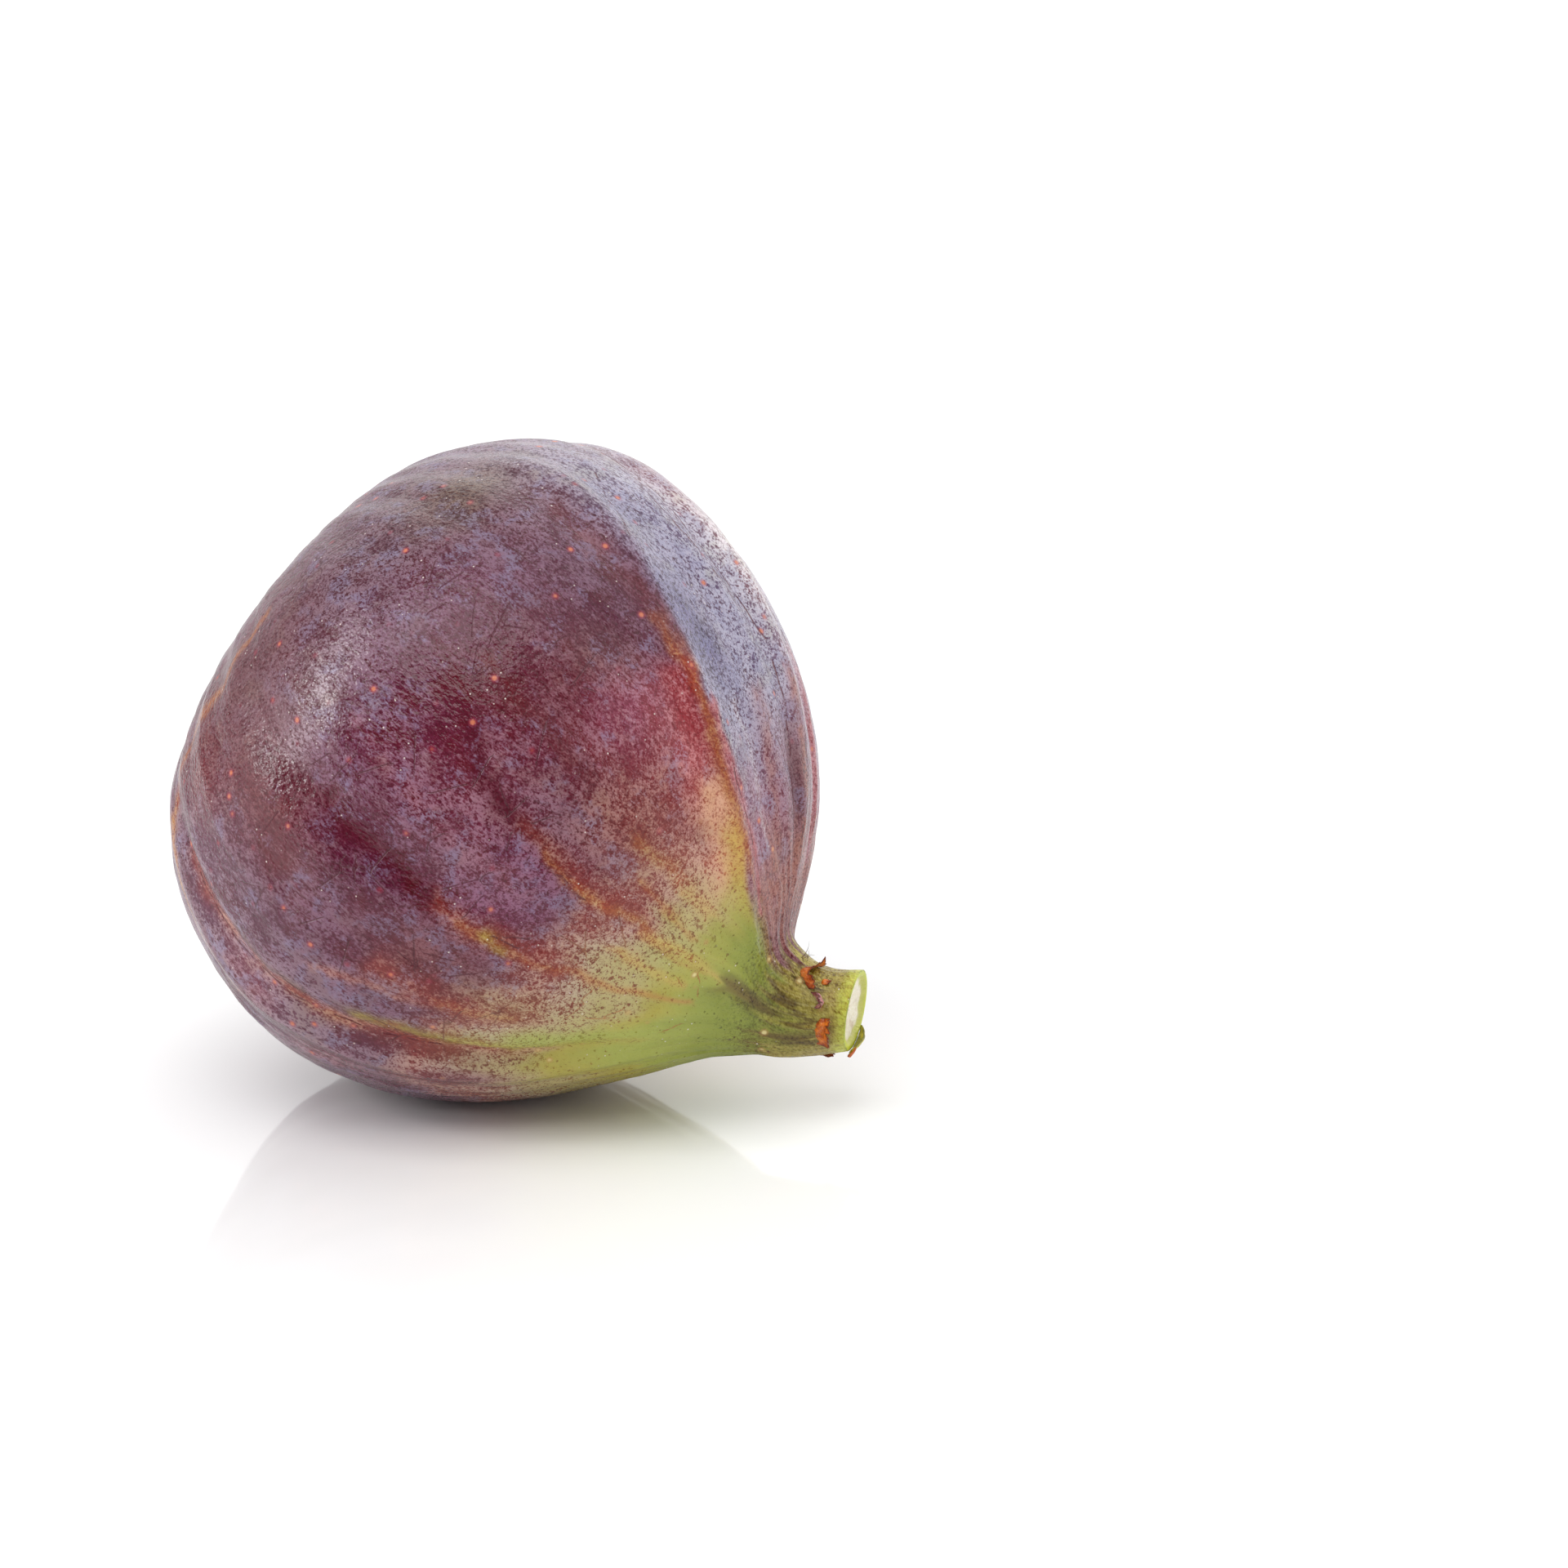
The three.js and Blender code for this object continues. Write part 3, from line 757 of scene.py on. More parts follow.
# station, degrees, how many
SCRATCH_ZONES = [
    (4.9, 118, 16), (5.7, 100, 16), (6.3, 130, 8), (7.1, 120, 12), (8.2, 125, 6), (5.5, 70, 8),
    (4.4, 60, 8), (5.5, 250, 10), (4.0, 300, 10),
]
LINE_REACH = 3.0
chance = np.random.default_rng(7)
scratches = []
for station, degree, count in SCRATCH_ZONES:
    for _ in range(count):
        start = (station + chance.uniform(-0.6, 0.6), degree + chance.uniform(-16, 16))
        end = (start[0] + chance.uniform(-0.25, 0.25), start[1] + chance.uniform(-7, 7))
        scratches.append([start, end])


def off_lines(lines):
    """Signed mm from the nearest of several lines."""
    nearest = np.full(arc.shape, FAR)
    for places in lines:
        nearest = nearer(off_stroke(places, arc, degrees), nearest)
    return nearest


off_crease, off_scratch = off_lines(CREASES), off_lines(scratches)
near_crease, near_scratch = bell(off_crease, 1.2), bell(off_scratch, 0.7)
off_crease = np.clip(off_crease + 0.35 * skin_noise(2.0, 15), -LINE_REACH, LINE_REACH)
off_scratch = np.clip(off_scratch, -LINE_REACH, LINE_REACH)
print(len(CREASES), "creases and", len(scratches), "scratches")

# %% [markdown]
# ## The cut end
# The knife left a rim of green skin round a cream pith that dries and sinks first. More rings,
# inside the last ring of the skin, make it.

# %% Rings of the cut end
RIM_WIDTH = 0.45
PITH_SINK = 0.35
PITH_HOLLOW = 0.6
# how much noise varies the width and the depth of each step
STEP_UNEVEN = 0.25
SINK_UNEVEN = 0.3
# mm in from the rim, and mm sunk
CUT_STEPS = [
    (0.05, -0.03), (0.15, -0.05), (RIM_WIDTH, 0.0), (RIM_WIDTH * 1.2, PITH_SINK * 0.7),
    (RIM_WIDTH * 1.5, PITH_SINK), (RIM_WIDTH * 2.4, PITH_SINK * 1.1), (RIM_WIDTH * 4, PITH_HOLLOW),
    (RIM_WIDTH * 5.6, PITH_HOLLOW * 1.1),
]


def cut_rings(rim):
    """Rings from the rim to near the middle of the pith, its middle point, and the way inward."""
    middle = rim.mean(0)
    spokes = rim - middle
    lengths = np.linalg.norm(spokes, axis=1, keepdims=True)
    inward = np.cross(np.roll(spokes, -1, 0), spokes).mean(0)
    inward /= np.linalg.norm(inward)
    wave = soft_noise(rim, 1.2, 13)[:, None]
    rings = []
    for narrower, sunk in CUT_STEPS:
        shrunk = spokes * (1 - narrower * (1 + STEP_UNEVEN * wave) / lengths)
        rings.append(middle + shrunk + inward * sunk * (1 + SINK_UNEVEN * wave))
    return rings, middle + inward * PITH_HOLLOW, inward


end_rings, end_middle, into_fruit = cut_rings(skin[-1])
end_lengths = np.linalg.norm(skin[-1] - end_middle, axis=1)

# %% Make the skin's mesh
def to_mesh(name, points, faces):
    """A smooth-shaded object from points in mm and a list of faces."""
    mesh = bpy.data.meshes.new(name)
    mesh.from_pydata((np.asarray(points) * MM).tolist(), [], faces)
    mesh.polygons.foreach_set("use_smooth", np.ones(len(mesh.polygons), dtype=bool))
    mesh.update()
    made = bpy.data.objects.new(name, mesh)
    bpy.context.scene.collection.objects.link(made)
    print(name, "has", len(mesh.vertices), "points and", len(mesh.polygons), "faces")
    return made


def strip(row, next_row, count):
    """Quads between two rings, given the number of each ring's first point."""
    here = np.arange(count)
    there = (here + 1) % count
    return np.stack([row + here, row + there, next_row + there, next_row + here], axis=1)


all_rings = np.concatenate([skin, np.array(end_rings)])
points = np.concatenate([skin[:1].mean(1), all_rings.reshape(-1, 3), end_middle[None]])
points = press(lay(points))
ring_starts = 1 + COLUMNS * np.arange(len(all_rings))
quads = np.concatenate([strip(a, b, COLUMNS) for a, b in zip(ring_starts[:-1], ring_starts[1:])])
here = np.arange(COLUMNS)
there = (here + 1) % COLUMNS
first_fan = np.stack([np.zeros(COLUMNS, int), 1 + there, 1 + here], axis=1)
middle_point = np.full(COLUMNS, len(points) - 1)
last_fan = np.stack([ring_starts[-1] + here, ring_starts[-1] + there, middle_point], axis=1)
faces = first_fan.tolist() + quads.tolist() + last_fan.tolist()
fig_skin = to_mesh("fig_skin", points, faces)
SKIN_FACES = COLUMNS * len(skin)

# %% [markdown]
# The painting goes onto the points of the mesh as attributes, which a material can read by name.

# %% Store the painting
def store(name, kind, field, values, cut_value):
    """Keeps a painted value on every point. The cut end, which isn't painted, gets cut_value."""
    width = values.shape[-1] if values.ndim == 3 else 1
    flat = values.reshape(-1, width)
    cut = np.broadcast_to(np.asarray(cut_value, float), (len(points) - 1 - len(flat), width))
    column = np.concatenate([flat[:1], flat, cut])
    if kind == "FLOAT_COLOR":
        column = np.hstack([column, np.ones((len(column), 1))])
    layer = fig_skin.data.attributes.new(name, kind, "POINT")
    layer.data.foreach_set(field, column.ravel().astype(np.float32))


def mark_points(thing, names, marks):
    """Keeps one number a point under each name."""
    for name, values in zip(names, marks.T):
        layer = thing.data.attributes.new(name, "FLOAT", "POINT")
        layer.data.foreach_set("value", values.astype(np.float32))


store("tone", "FLOAT_COLOR", "color", paint[..., :3], PAIRS["lemon"][:3])
store("wax", "FLOAT_COLOR", "color", paint[..., 3:], PAIRS["lemon"][3:])
store("grain", "FLOAT_VECTOR", "vector", grain, (0.0, 0.0, 0.0))
store("fibre", "FLOAT_VECTOR", "vector", fibre, (0.0, 0.0, 0.0))
for name, values, cut_value in [
    ("bloom", bloom, 0.0), ("smooth", smooth, 0.0), ("pale", pale, 1.0),
    ("off_crease", off_crease, LINE_REACH), ("near_crease", near_crease, 0.0),
    ("off_scratch", off_scratch, LINE_REACH), ("near_scratch", near_scratch, 0.0),
]:
    store(name, "FLOAT", "value", values, cut_value)
in_from_rim = np.zeros(len(points))
in_from_rim[1 + skin.size // 3:-1] = np.repeat([step[0] for step in CUT_STEPS], COLUMNS)
in_from_rim[-1] = end_lengths.mean()
mark_points(fig_skin, ["in_from_rim"], in_from_rim[:, None])

# %% [markdown]
# ## Writing a material as sums
# A material in Blender is a graph of nodes. Written by hand, a graph of fifty nodes is hard to
# read, so this small class wraps a socket and turns sums on it into Math nodes: 1 - mask adds one
# Subtract node. Colours go through Mix nodes, and any other node comes from one method.

# %% Wires and finishes
class Wire:
    """A node's output. Sums on it add Math nodes to the same finish."""

    def __init__(self, finish, socket):
        self.finish = finish
        self.socket = socket

    def sum_with(self, operation, first, second):
        return self.finish.node("Math", {"operation": operation}, {0: first, 1: second})

    def __add__(self, other):
        return self.sum_with("ADD", self, other)

    def __sub__(self, other):
        return self.sum_with("SUBTRACT", self, other)

    def __rsub__(self, other):
        return self.sum_with("SUBTRACT", other, self)

    def __mul__(self, other):
        return self.sum_with("MULTIPLY", self, other)

    def __abs__(self):
        return self.finish.node("Math", {"operation": "ABSOLUTE"}, {0: self})

    __radd__ = __add__
    __rmul__ = __mul__

    def clip(self):
        """The value kept between 0 and 1."""
        return self.finish.node("Clamp", {}, {0: self})

    def step(self, low, high):
        """0 below low and 1 above high, with a smooth rise between."""
        settings = {"interpolation_type": "SMOOTHSTEP"}
        return self.finish.node("MapRange", settings, {0: self, 1: low, 2: high, 3: 0.0, 4: 1.0})


class Finish:
    """A material whose nodes are added one by one. Its shader is a Principled BSDF."""

    def __init__(self, name):
        self.material = bpy.data.materials.new(name)
        self.material.use_nodes = True
        self.nodes = self.material.node_tree.nodes
        self.shader = self.nodes["Principled BSDF"]

    def node(self, kind, settings, inputs, output=0):
        """Adds a node, sets it, fills or links its sockets, and gives one of its outputs."""
        made = self.nodes.new("ShaderNode" + kind)
        for setting, value in settings.items():
            setattr(made, setting, value)
        for socket, value in inputs.items():
            self.fill(made.inputs[socket], value)
        return Wire(self, made.outputs[output])

    def fill(self, socket, value):
        """Links a wire to a socket, or sets the socket to a number, a vector or a hex code."""
        if isinstance(value, Wire):
            self.material.node_tree.links.new(value.socket, socket)
        else:
            socket.default_value = rgb(value) if isinstance(value, str) else value

    def place(self):
        """Where a point is on the piece, in mm."""
        metres = self.node("TexCoord", {}, {}, "Object")
        return self.node("VectorMath", {"operation": "SCALE"}, {0: metres, "Scale": 1 / MM})

    def painted(self, name, output="Fac"):
        """What was painted on the mesh's points under a name."""
        return self.node("Attribute", {"attribute_name": name}, {}, output)

    def mix(self, amount, under, over, blend="MIX"):
        """One colour laid over another."""
        settings = {"data_type": "RGBA", "blend_type": blend}
        return self.node("Mix", settings, {0: amount, 6: under, 7: over}, 2)

    def noise(self, place, size, detail=2.0, roughness=0.5, shift=0.0):
        """Noise with lumps of about so many mm."""
        offset = (shift, shift * 0.7, shift * 1.3)
        moved = self.node("VectorMath", {"operation": "ADD"}, {0: place, 1: offset})
        inputs = {"Vector": moved, "Scale": 1 / size, "Detail": detail, "Roughness": roughness}
        return self.node("TexNoise", {}, inputs)

    def dots(self, place, dots_per_mm):
        """The distance from the nearest of many scattered dots."""
        inputs = {"Vector": place, "Scale": dots_per_mm}
        return self.node("TexVoronoi", {}, inputs, "Distance")

    def set(self, **values):
        """Sets the shader's sockets by name, and gives the material."""
        for name, value in values.items():
            self.fill(self.shader.inputs[name.replace("_", " ")], value)
        return self.material

    def bump(self, height, strength, depth):
        """A relief of the given depth in mm, too fine for the mesh."""
        inputs = {"Strength": strength, "Distance": depth * MM, "Height": height}
        self.set(Normal=self.node("Bump", {}, inputs))

    def let_light_in(self, weight, spread, depth):
        """Light that goes in, spreads under the surface to some mm, and comes out tinted."""
        self.set(Subsurface_Weight=weight, Subsurface_Radius=spread, Subsurface_Scale=depth * MM)


def rgb(code):
    """A hex code as a colour socket takes it."""
    return (*colour(code).tolist(), 1.0)


# %% [markdown]
# ## The skin's finish
# The wax is broken up by noise of several sizes, from dust to clouds. Where the coat is thick only
# fine dark specks stay bare, and where it is thin it is a mottle. The noise is read in the grain
# coordinates, which are squeezed along the fruit, so the flecks come out longer than they are
# wide. Round bare dots, a few to a millimetre, come from a Voronoi pattern. Dots of cork, painted
# glints of light, creases and scratches go over it all, and a fine bump breaks up the shine.

# %% Wax over the bare skin
# sizes of the lumps of each noise, in mm
DUST, FLECK, BLOTCH, CLOUD, TINT, STREAK, BLUE, PIT = 0.14, 0.3, 0.9, 4.0, 3.0, 0.8, 2.2, 0.36
BARE_DOTS_PER_MM = 1.9
CORK_DOTS_PER_MM = 0.36
# painted glints of light: near-white specks put into the colour
PAINTED_GLINTS_PER_MM = 1.1


def bare_and_waxed(mat, place, pale_zone, calm, tint, fleck, dust):
    """The colours of the bare skin and of the wax, each varied from place to place."""
    bare, wax = mat.painted("tone", "Color"), mat.painted("wax", "Color")
    warm = mat.mix(1.0, bare, "ffa0a4", "MULTIPLY")
    mossy = mat.mix(1.0, wax, "eef0d0", "MULTIPLY")
    bare_here = mat.mix(tint.step(0.5, 0.66) * 0.6, bare, warm)
    wax_tinted = mat.mix((1 - tint.step(0.32, 0.5)) * 0.5, wax, mossy)
    blue_zone = mat.noise(place, BLUE, 3.0, 0.6, 83.0).step(0.5, 0.64) * (1 - pale_zone)
    wax_here = mat.mix(blue_zone * (1 - calm) * 0.4, wax_tinted, "7e7c9e")
    darkest = mat.mix(1.0, bare_here, "c8a8b0", "MULTIPLY")
    dark_here = ((0.5 - fleck) * 2.4 + (0.5 - dust) * 1.6 + 0.2).clip()
    return mat.mix(dark_here, bare_here, darkest), wax_here


def dotted(mat, under, place, pale_zone, tint):
    """Dots of cork with a halo, and small painted glints of light, over a colour."""
    cork = mat.dots(place, CORK_DOTS_PER_MM)
    halo = mat.mix(pale_zone, "9a3448", "c89a58")
    heart = mat.mix(pale_zone, "d8825c", "f0e4a4")
    haloed = mat.mix((1 - cork.step(0.07, 0.17)) * 0.5, under, halo)
    corked = mat.mix((1 - cork.step(0.04, 0.1)) * 0.7, haloed, heart)
    # painted glints: tiny near-white specks of light in the colour
    painted_glint = 1 - mat.dots(place, PAINTED_GLINTS_PER_MM).step(0.05, 0.1)
    return mat.mix(painted_glint * tint.step(0.45, 0.6) * 0.7, corked, "f0e4dc")


# %% Skin
def make_skin_finish():
    mat = Finish("fig_skin")
    place = mat.place()
    thickness, calm, pale_zone = (mat.painted(name) for name in ("bloom", "smooth", "pale"))
    grain_place = mat.painted("grain", "Vector")
    dust = mat.noise(grain_place, DUST, 1.0, 0.5, 23.0)
    fleck = mat.noise(grain_place, FLECK, 2.0, 0.6, 11.0)
    blotch = mat.noise(grain_place, BLOTCH, 3.0, 0.6, 3.0)
    cloud = mat.noise(place, CLOUD, 3.0, 0.6, 17.0)
    tint = mat.noise(place, TINT, 2.0, 0.5, 71.0)
    streak = mat.noise(mat.painted("fibre", "Vector"), STREAK, 3.0, 0.6, 5.0)

    fine = (fleck - 0.5) * 2.4 + (dust - 0.5) * 2.0
    coarse = (blotch - 0.5) * 1.8 + (cloud - 0.5) * 1.8 + (streak - 0.5) * 1.0
    closed = ((thickness - 0.45) * 4.0).clip()
    broken = fine * (1 + closed * 0.9) + coarse * (1 - closed * 0.7)
    cover = (thickness - 0.5) * 2.2 + 0.5 + broken * (1 - calm * 0.5)
    uneven = (blotch - 0.5) * 1.1 + (fleck - 0.5) * 0.7 + calm * 0.12
    bare_dot = 1 - (mat.dots(grain_place, BARE_DOTS_PER_MM) + uneven).step(0.13, 0.27)
    bloomed = cover.step(-0.25, 1.25) * (1 - bare_dot * 0.85)
    bare_here, wax_here = bare_and_waxed(mat, place, pale_zone, calm, tint, fleck, dust)
    waxed = mat.mix(bloomed, bare_here, wax_here)
    spotted = dotted(mat, waxed, place, pale_zone, tint)

    near_crease = mat.painted("near_crease").step(0.5, 0.9)
    near_scratch = mat.painted("near_scratch").step(0.6, 0.9)
    crease_line = 1 - abs(mat.painted("off_crease")).step(0.03, 0.15)
    scratch_line = 1 - abs(mat.painted("off_scratch")).step(0.02, 0.09)
    crease = crease_line * near_crease * blotch.step(0.42, 0.55)
    scratch = scratch_line * near_scratch * fleck.step(0.3, 0.5)
    creased = mat.mix(crease * 0.8, spotted, "641c2a")
    coloured = mat.mix(scratch * 0.75, creased, mat.mix(pale_zone, "4a0c1c", "b06a3c"))

    pit = mat.noise(grain_place, PIT, 2.0, 0.5, 41.0)
    rises = pit * 1.2 + fleck * 0.4 + blotch * 0.5 + streak * 0.6
    mat.bump(rises - crease * 1.2 - scratch * 0.4, 1.0, 0.09)
    mat.let_light_in(0.1, (1.0, 0.35, 0.25), 0.8)
    return mat.set(
        Base_Color=coloured, Roughness=0.18 + bloomed * 0.08,
        Specular_IOR_Level=0.38, Sheen_Weight=0.04, Sheen_Roughness=0.4,
    )


# %% [markdown]
# The cut face is moist: a bright lime edge, then a yellow line, then cream pith with fine fibres
# that brown a little as they dry. How far a point lies in from the rim sets its colour, through
# noise so that the borders are uneven.

# %% Cut face
def make_pith_finish():
    mat = Finish("fig_pith")
    place = mat.place()
    lump = mat.noise(place, 0.5, 3.0, 0.6)
    thread = mat.noise(place, 0.16, 2.0, 0.5, 9.0)
    dry = mat.noise(place, 1.4, 2.0, 0.5, 31.0)
    inward = mat.painted("in_from_rim") + (lump - 0.5) * 0.5
    cream = mat.mix(thread.step(0.3, 0.7), "efe6cc", "fff8ea")
    browned = mat.mix(dry.step(0.48, 0.66) * 0.55, cream, "c8a888")
    yellow = mat.mix(inward.step(0.55, 0.95), "d4d47c", browned)
    lime = mat.mix(inward.step(0.3, 0.6), "c4cc40", yellow)
    mat.bump(thread + lump, 0.6, 0.12)
    mat.let_light_in(0.2, (1.0, 0.8, 0.3), 0.8)
    edged = mat.mix(inward.step(0.02, 0.14), "8c9828", lime)
    return mat.set(Base_Color=edged, Roughness=0.3 + thread * 0.2)


fig_skin.data.materials.append(make_skin_finish())
fig_skin.data.materials.append(make_pith_finish())
slots = np.zeros(len(faces), dtype=np.int32)
slots[SKIN_FACES:] = 1
fig_skin.data.polygons.foreach_set("material_index", slots)

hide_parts("fig")
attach(fig_skin, "root")

# %% [markdown]
# ## Torn bracts
# Small leaf-like bracts sit round the stem of a fig. When it is picked they tear, and what stays
# dries to orange-brown scraps. Each scrap is a sheet: its root lies on the stem, then it rises,
# leans toward the cut and curls. A sheet of no thickness would have no torn edge to catch the
# light, so every sheet is built as a closed body round its middle.

# %% Thin sheets
def thin_sheet(middle, thickness):
    """Points and faces of a closed sheet round a grid of middle points."""
    across_rows, across_columns = np.gradient(middle, axis=0), np.gradient(middle, axis=1)
    normal = np.cross(across_rows, across_columns)
    normal /= np.linalg.norm(normal, axis=-1, keepdims=True)
    half = normal * thickness[..., None] / 2
    number = np.arange(middle[..., 0].size).reshape(middle.shape[:2])
    corners = [number[:-1, :-1], number[1:, :-1], number[1:, 1:], number[:-1, 1:]]
    top = np.stack(corners, axis=-1).reshape(-1, 4)
    bottom = top[:, ::-1] + number.size
    edge = np.concatenate([number[:-1, 0], number[-1, :-1], number[:0:-1, -1], number[0, :0:-1]])
    after = np.roll(edge, -1)
    side = np.stack([after, edge, edge + number.size, after + number.size], axis=1)
    points = np.concatenate([(middle + half).reshape(-1, 3), (middle - half).reshape(-1, 3)])
    return points, np.concatenate([top, bottom, side])


def on_stem(station, degree):
    """Points of the stem's skin, the way out of it, and the way along it to the cut."""
    angle = np.radians(degree)
    pair = np.arange(len(station))
    point = bare_skin(station, angle)[pair, pair]
    ahead = bare_skin(station + NUDGE, angle)[pair, pair] - point
    point[:, 0] += slant(station) * point[:, 1]
    ahead /= np.linalg.norm(ahead, axis=1, keepdims=True)
    return point, outward(station, angle)[pair, pair], ahead


# %% [markdown]
# The scraps stand where the solid has them. A scrap is listed as the root line that it tore
# along, the height of its torn edge over that line, how far it leans to the cut, how tightly it
# curls, and how pink it has dried.

# %% Bract scraps
# root line in stations and degrees, torn heights in mm, lean in degrees, curl in radians, pinkness
SCRAPS = [
    ([(11.7, 26), (11.5, 34), (11.25, 45), (11.2, 52), (11.45, 60), (11.7, 68)],
     [0.5, 1.1, 1.0, 0.6, 0.9, 0.3], 50, 0.9, 0.1),
    ([(11.75, 71), (11.95, 77), (12.1, 84), (12.0, 91)], [0.3, 1.0, 1.1, 0.4], 38, 2.2, 1.0),
    ([(12.3, 104), (12.15, 111), (12.1, 121), (12.15, 131), (12.3, 137), (12.2, 143)],
     [0.5, 1.2, 1.5, 1.3, 0.5, 0.9], 66, 0.7, 0.0),
    ([(12.2, 192), (12.3, 200), (12.35, 208), (12.25, 217)], [0.3, 0.7, 0.5, 0.2], 70, 0.5, 0.2),
    ([(11.8, 281), (11.6, 289), (11.65, 299), (11.8, 310)], [0.4, 1.0, 0.6, 0.9], 50, 1.0, 0.1),
    ([(12.05, 50), (12.0, 54), (12.1, 58)], [0.3, 0.5, 0.2], 60, 0.5, 0.0),
]
SCRAP_ROOT = 0.3
SCRAP_THICKNESS = 0.15
SCRAP_ACROSS = 45
SCRAP_ALONG = 21
SCRAP_SUNK = 0.12
SCRAP_FOLD = 0.25
SCRAP_CRUMPLE = 0.16
# how much coarse and fine noise makes the torn edge uneven
TORN_COARSE = 0.5
TORN_FINE = 0.35


def scrap_sheet(root_line, heights, lean, curl):
    """Middle points of a scrap, and a mark that is 1 at its torn edges."""
    across = np.linspace(-1, 1, SCRAP_ACROSS)
    marked = np.linspace(-1, 1, len(root_line))
    root_station = np.interp(across, marked, [station for station, _ in root_line])
    root_degree = np.interp(across, marked, [degree for _, degree in root_line])
    point, out, ahead = on_stem(root_station, root_degree)
    torn = np.interp(across, np.linspace(-1, 1, len(heights)), heights)
    coarse, fine = soft_noise(point, 0.35, 21), soft_noise(point, 0.14, 23)
    torn = torn * (1 + TORN_COARSE * coarse + TORN_FINE * fine)
    share = np.linspace(0, 1, SCRAP_ALONG)[:, None]
    distance = -SCRAP_ROOT + (SCRAP_ROOT + torn) * share
    climb = math.radians(90 - lean) * fade(distance, -SCRAP_FOLD, SCRAP_FOLD)
    climb += curl * np.clip(distance, 0, 1) ** 2
    step = np.diff(distance, axis=0, prepend=distance[:1])
    forward = -SCRAP_ROOT + np.cumsum(step * np.cos(climb), axis=0)
    free = fade(share, 0, 0.3)
    rise = -SCRAP_SUNK + 0.2 * free + np.cumsum(step * np.sin(climb), axis=0)
    middle = point + ahead * forward[..., None] + out * rise[..., None]
    middle += SCRAP_CRUMPLE * out * (soft_noise(middle, 0.5, 22) * free)[..., None]
    edge = np.maximum(np.maximum(np.abs(across) ** 8 + 0 * share, share**5), (1 - share) ** 4)
    return middle, edge


def join_sheets(sheets):
    """The points, faces and marks of several sheets as one list of each."""
    points, faces, marks, start = [], [], [], 0
    for middle, thickness, mark in sheets:
        sheet_points, sheet_faces = thin_sheet(middle, thickness)
        points.append(sheet_points)
        faces.append(sheet_faces + start)
        marks.append(np.concatenate([mark.reshape(-1, mark.shape[-1])] * 2))
        start += len(sheet_points)
    return np.concatenate(points), np.concatenate(faces), np.concatenate(marks)


sheets = []
for *form, pinkness in SCRAPS:
    middle, torn_edge = scrap_sheet(*form)
    marks = np.stack([torn_edge, np.full(torn_edge.shape, pinkness)], axis=-1)
    sheets.append((middle, SCRAP_THICKNESS * (1 - 0.6 * torn_edge), marks))
scrap_points, scrap_faces, scrap_marks = join_sheets(sheets)
bract_scraps = to_mesh("bract_scraps", lay(scrap_points), scrap_faces.tolist())
mark_points(bract_scraps, ("torn_edge", "pinkness"), scrap_marks)

# %% [markdown]
# The knife also left a sliver of peel hanging along the low side of the rim. It is a crescent: it
# leaves the rim at one end, stands off the pith in the middle and dries to orange at its tip.

# %% Peel sliver
SLIVER_DEGREES = (184, 256)
SLIVER_WIDTH = 0.8
SLIVER_THICKNESS = 0.2
SLIVER_STAND = 0.7
SLIVER_ROWS = 13
SLIVER_COLUMNS = 41


def sliver_sheet():
    """Middle points of the sliver, and marks for its torn edges and its dried tip."""
    share = np.linspace(0, 1, SLIVER_COLUMNS)
    degree = SLIVER_DEGREES[0] + (SLIVER_DEGREES[1] - SLIVER_DEGREES[0]) * share
    rim = np.stack([np.interp(degree, degrees[0], skin[-1][:, axis]) for axis in range(3)], axis=1)
    spoke = skin[-1].mean(0) - rim
    spoke /= np.linalg.norm(spoke, axis=1, keepdims=True)
    crosswise = np.linspace(0, 1, SLIVER_ROWS)[:, None]
    belly = np.sin(np.pi * share) ** 0.7
    tip = 1 - fade(share, 0.05, 0.22)
    inward = -0.15 - 0.3 * tip + (0.2 + SLIVER_WIDTH * belly) * crosswise
    stand = 0.04 + SLIVER_STAND * belly * np.sin(np.pi * 0.5 * crosswise) + 0.15 * tip
    middle = rim + spoke * inward[..., None] - into_fruit * stand[..., None]
    middle += 0.05 * soft_noise(middle, 0.6, 25)[..., None]
    edge = np.abs(2 * crosswise - 1) ** 5 + 0 * share
    return middle, edge, tip + 0 * edge


middle, torn_edge, tip = sliver_sheet()
marks = np.stack([torn_edge, tip], axis=-1)
thickness = SLIVER_THICKNESS * (1 - 0.5 * torn_edge)
sliver_points, sliver_faces, sliver_marks = join_sheets([(middle, thickness, marks)])
peel_sliver = to_mesh("peel_sliver", lay(sliver_points), sliver_faces.tolist())
mark_points(peel_sliver, ("torn_edge", "dried_tip"), sliver_marks)

# %% [markdown]
# A few dry hairs, finer than thread, stand on the neck behind the first scrap.

# %% Stem hairs
# station, degrees, height, bend along, bend round
HAIRS = [
    (11.05, 22, 1.3, -0.5, 0.3), (11.1, 26, 1.0, 0.5, -0.3), (11.2, 18, 0.8, -0.3, -0.5),
    (11.0, 30, 0.9, 0.6, 0.4), (11.25, 28, 0.7, -0.6, 0.1),
]
HAIR_RADIUS = 0.03
HAIR_TAPER = 0.75
HAIR_SUNK = 0.12
HAIR_RINGS = 12
HAIR_SIDES = 6


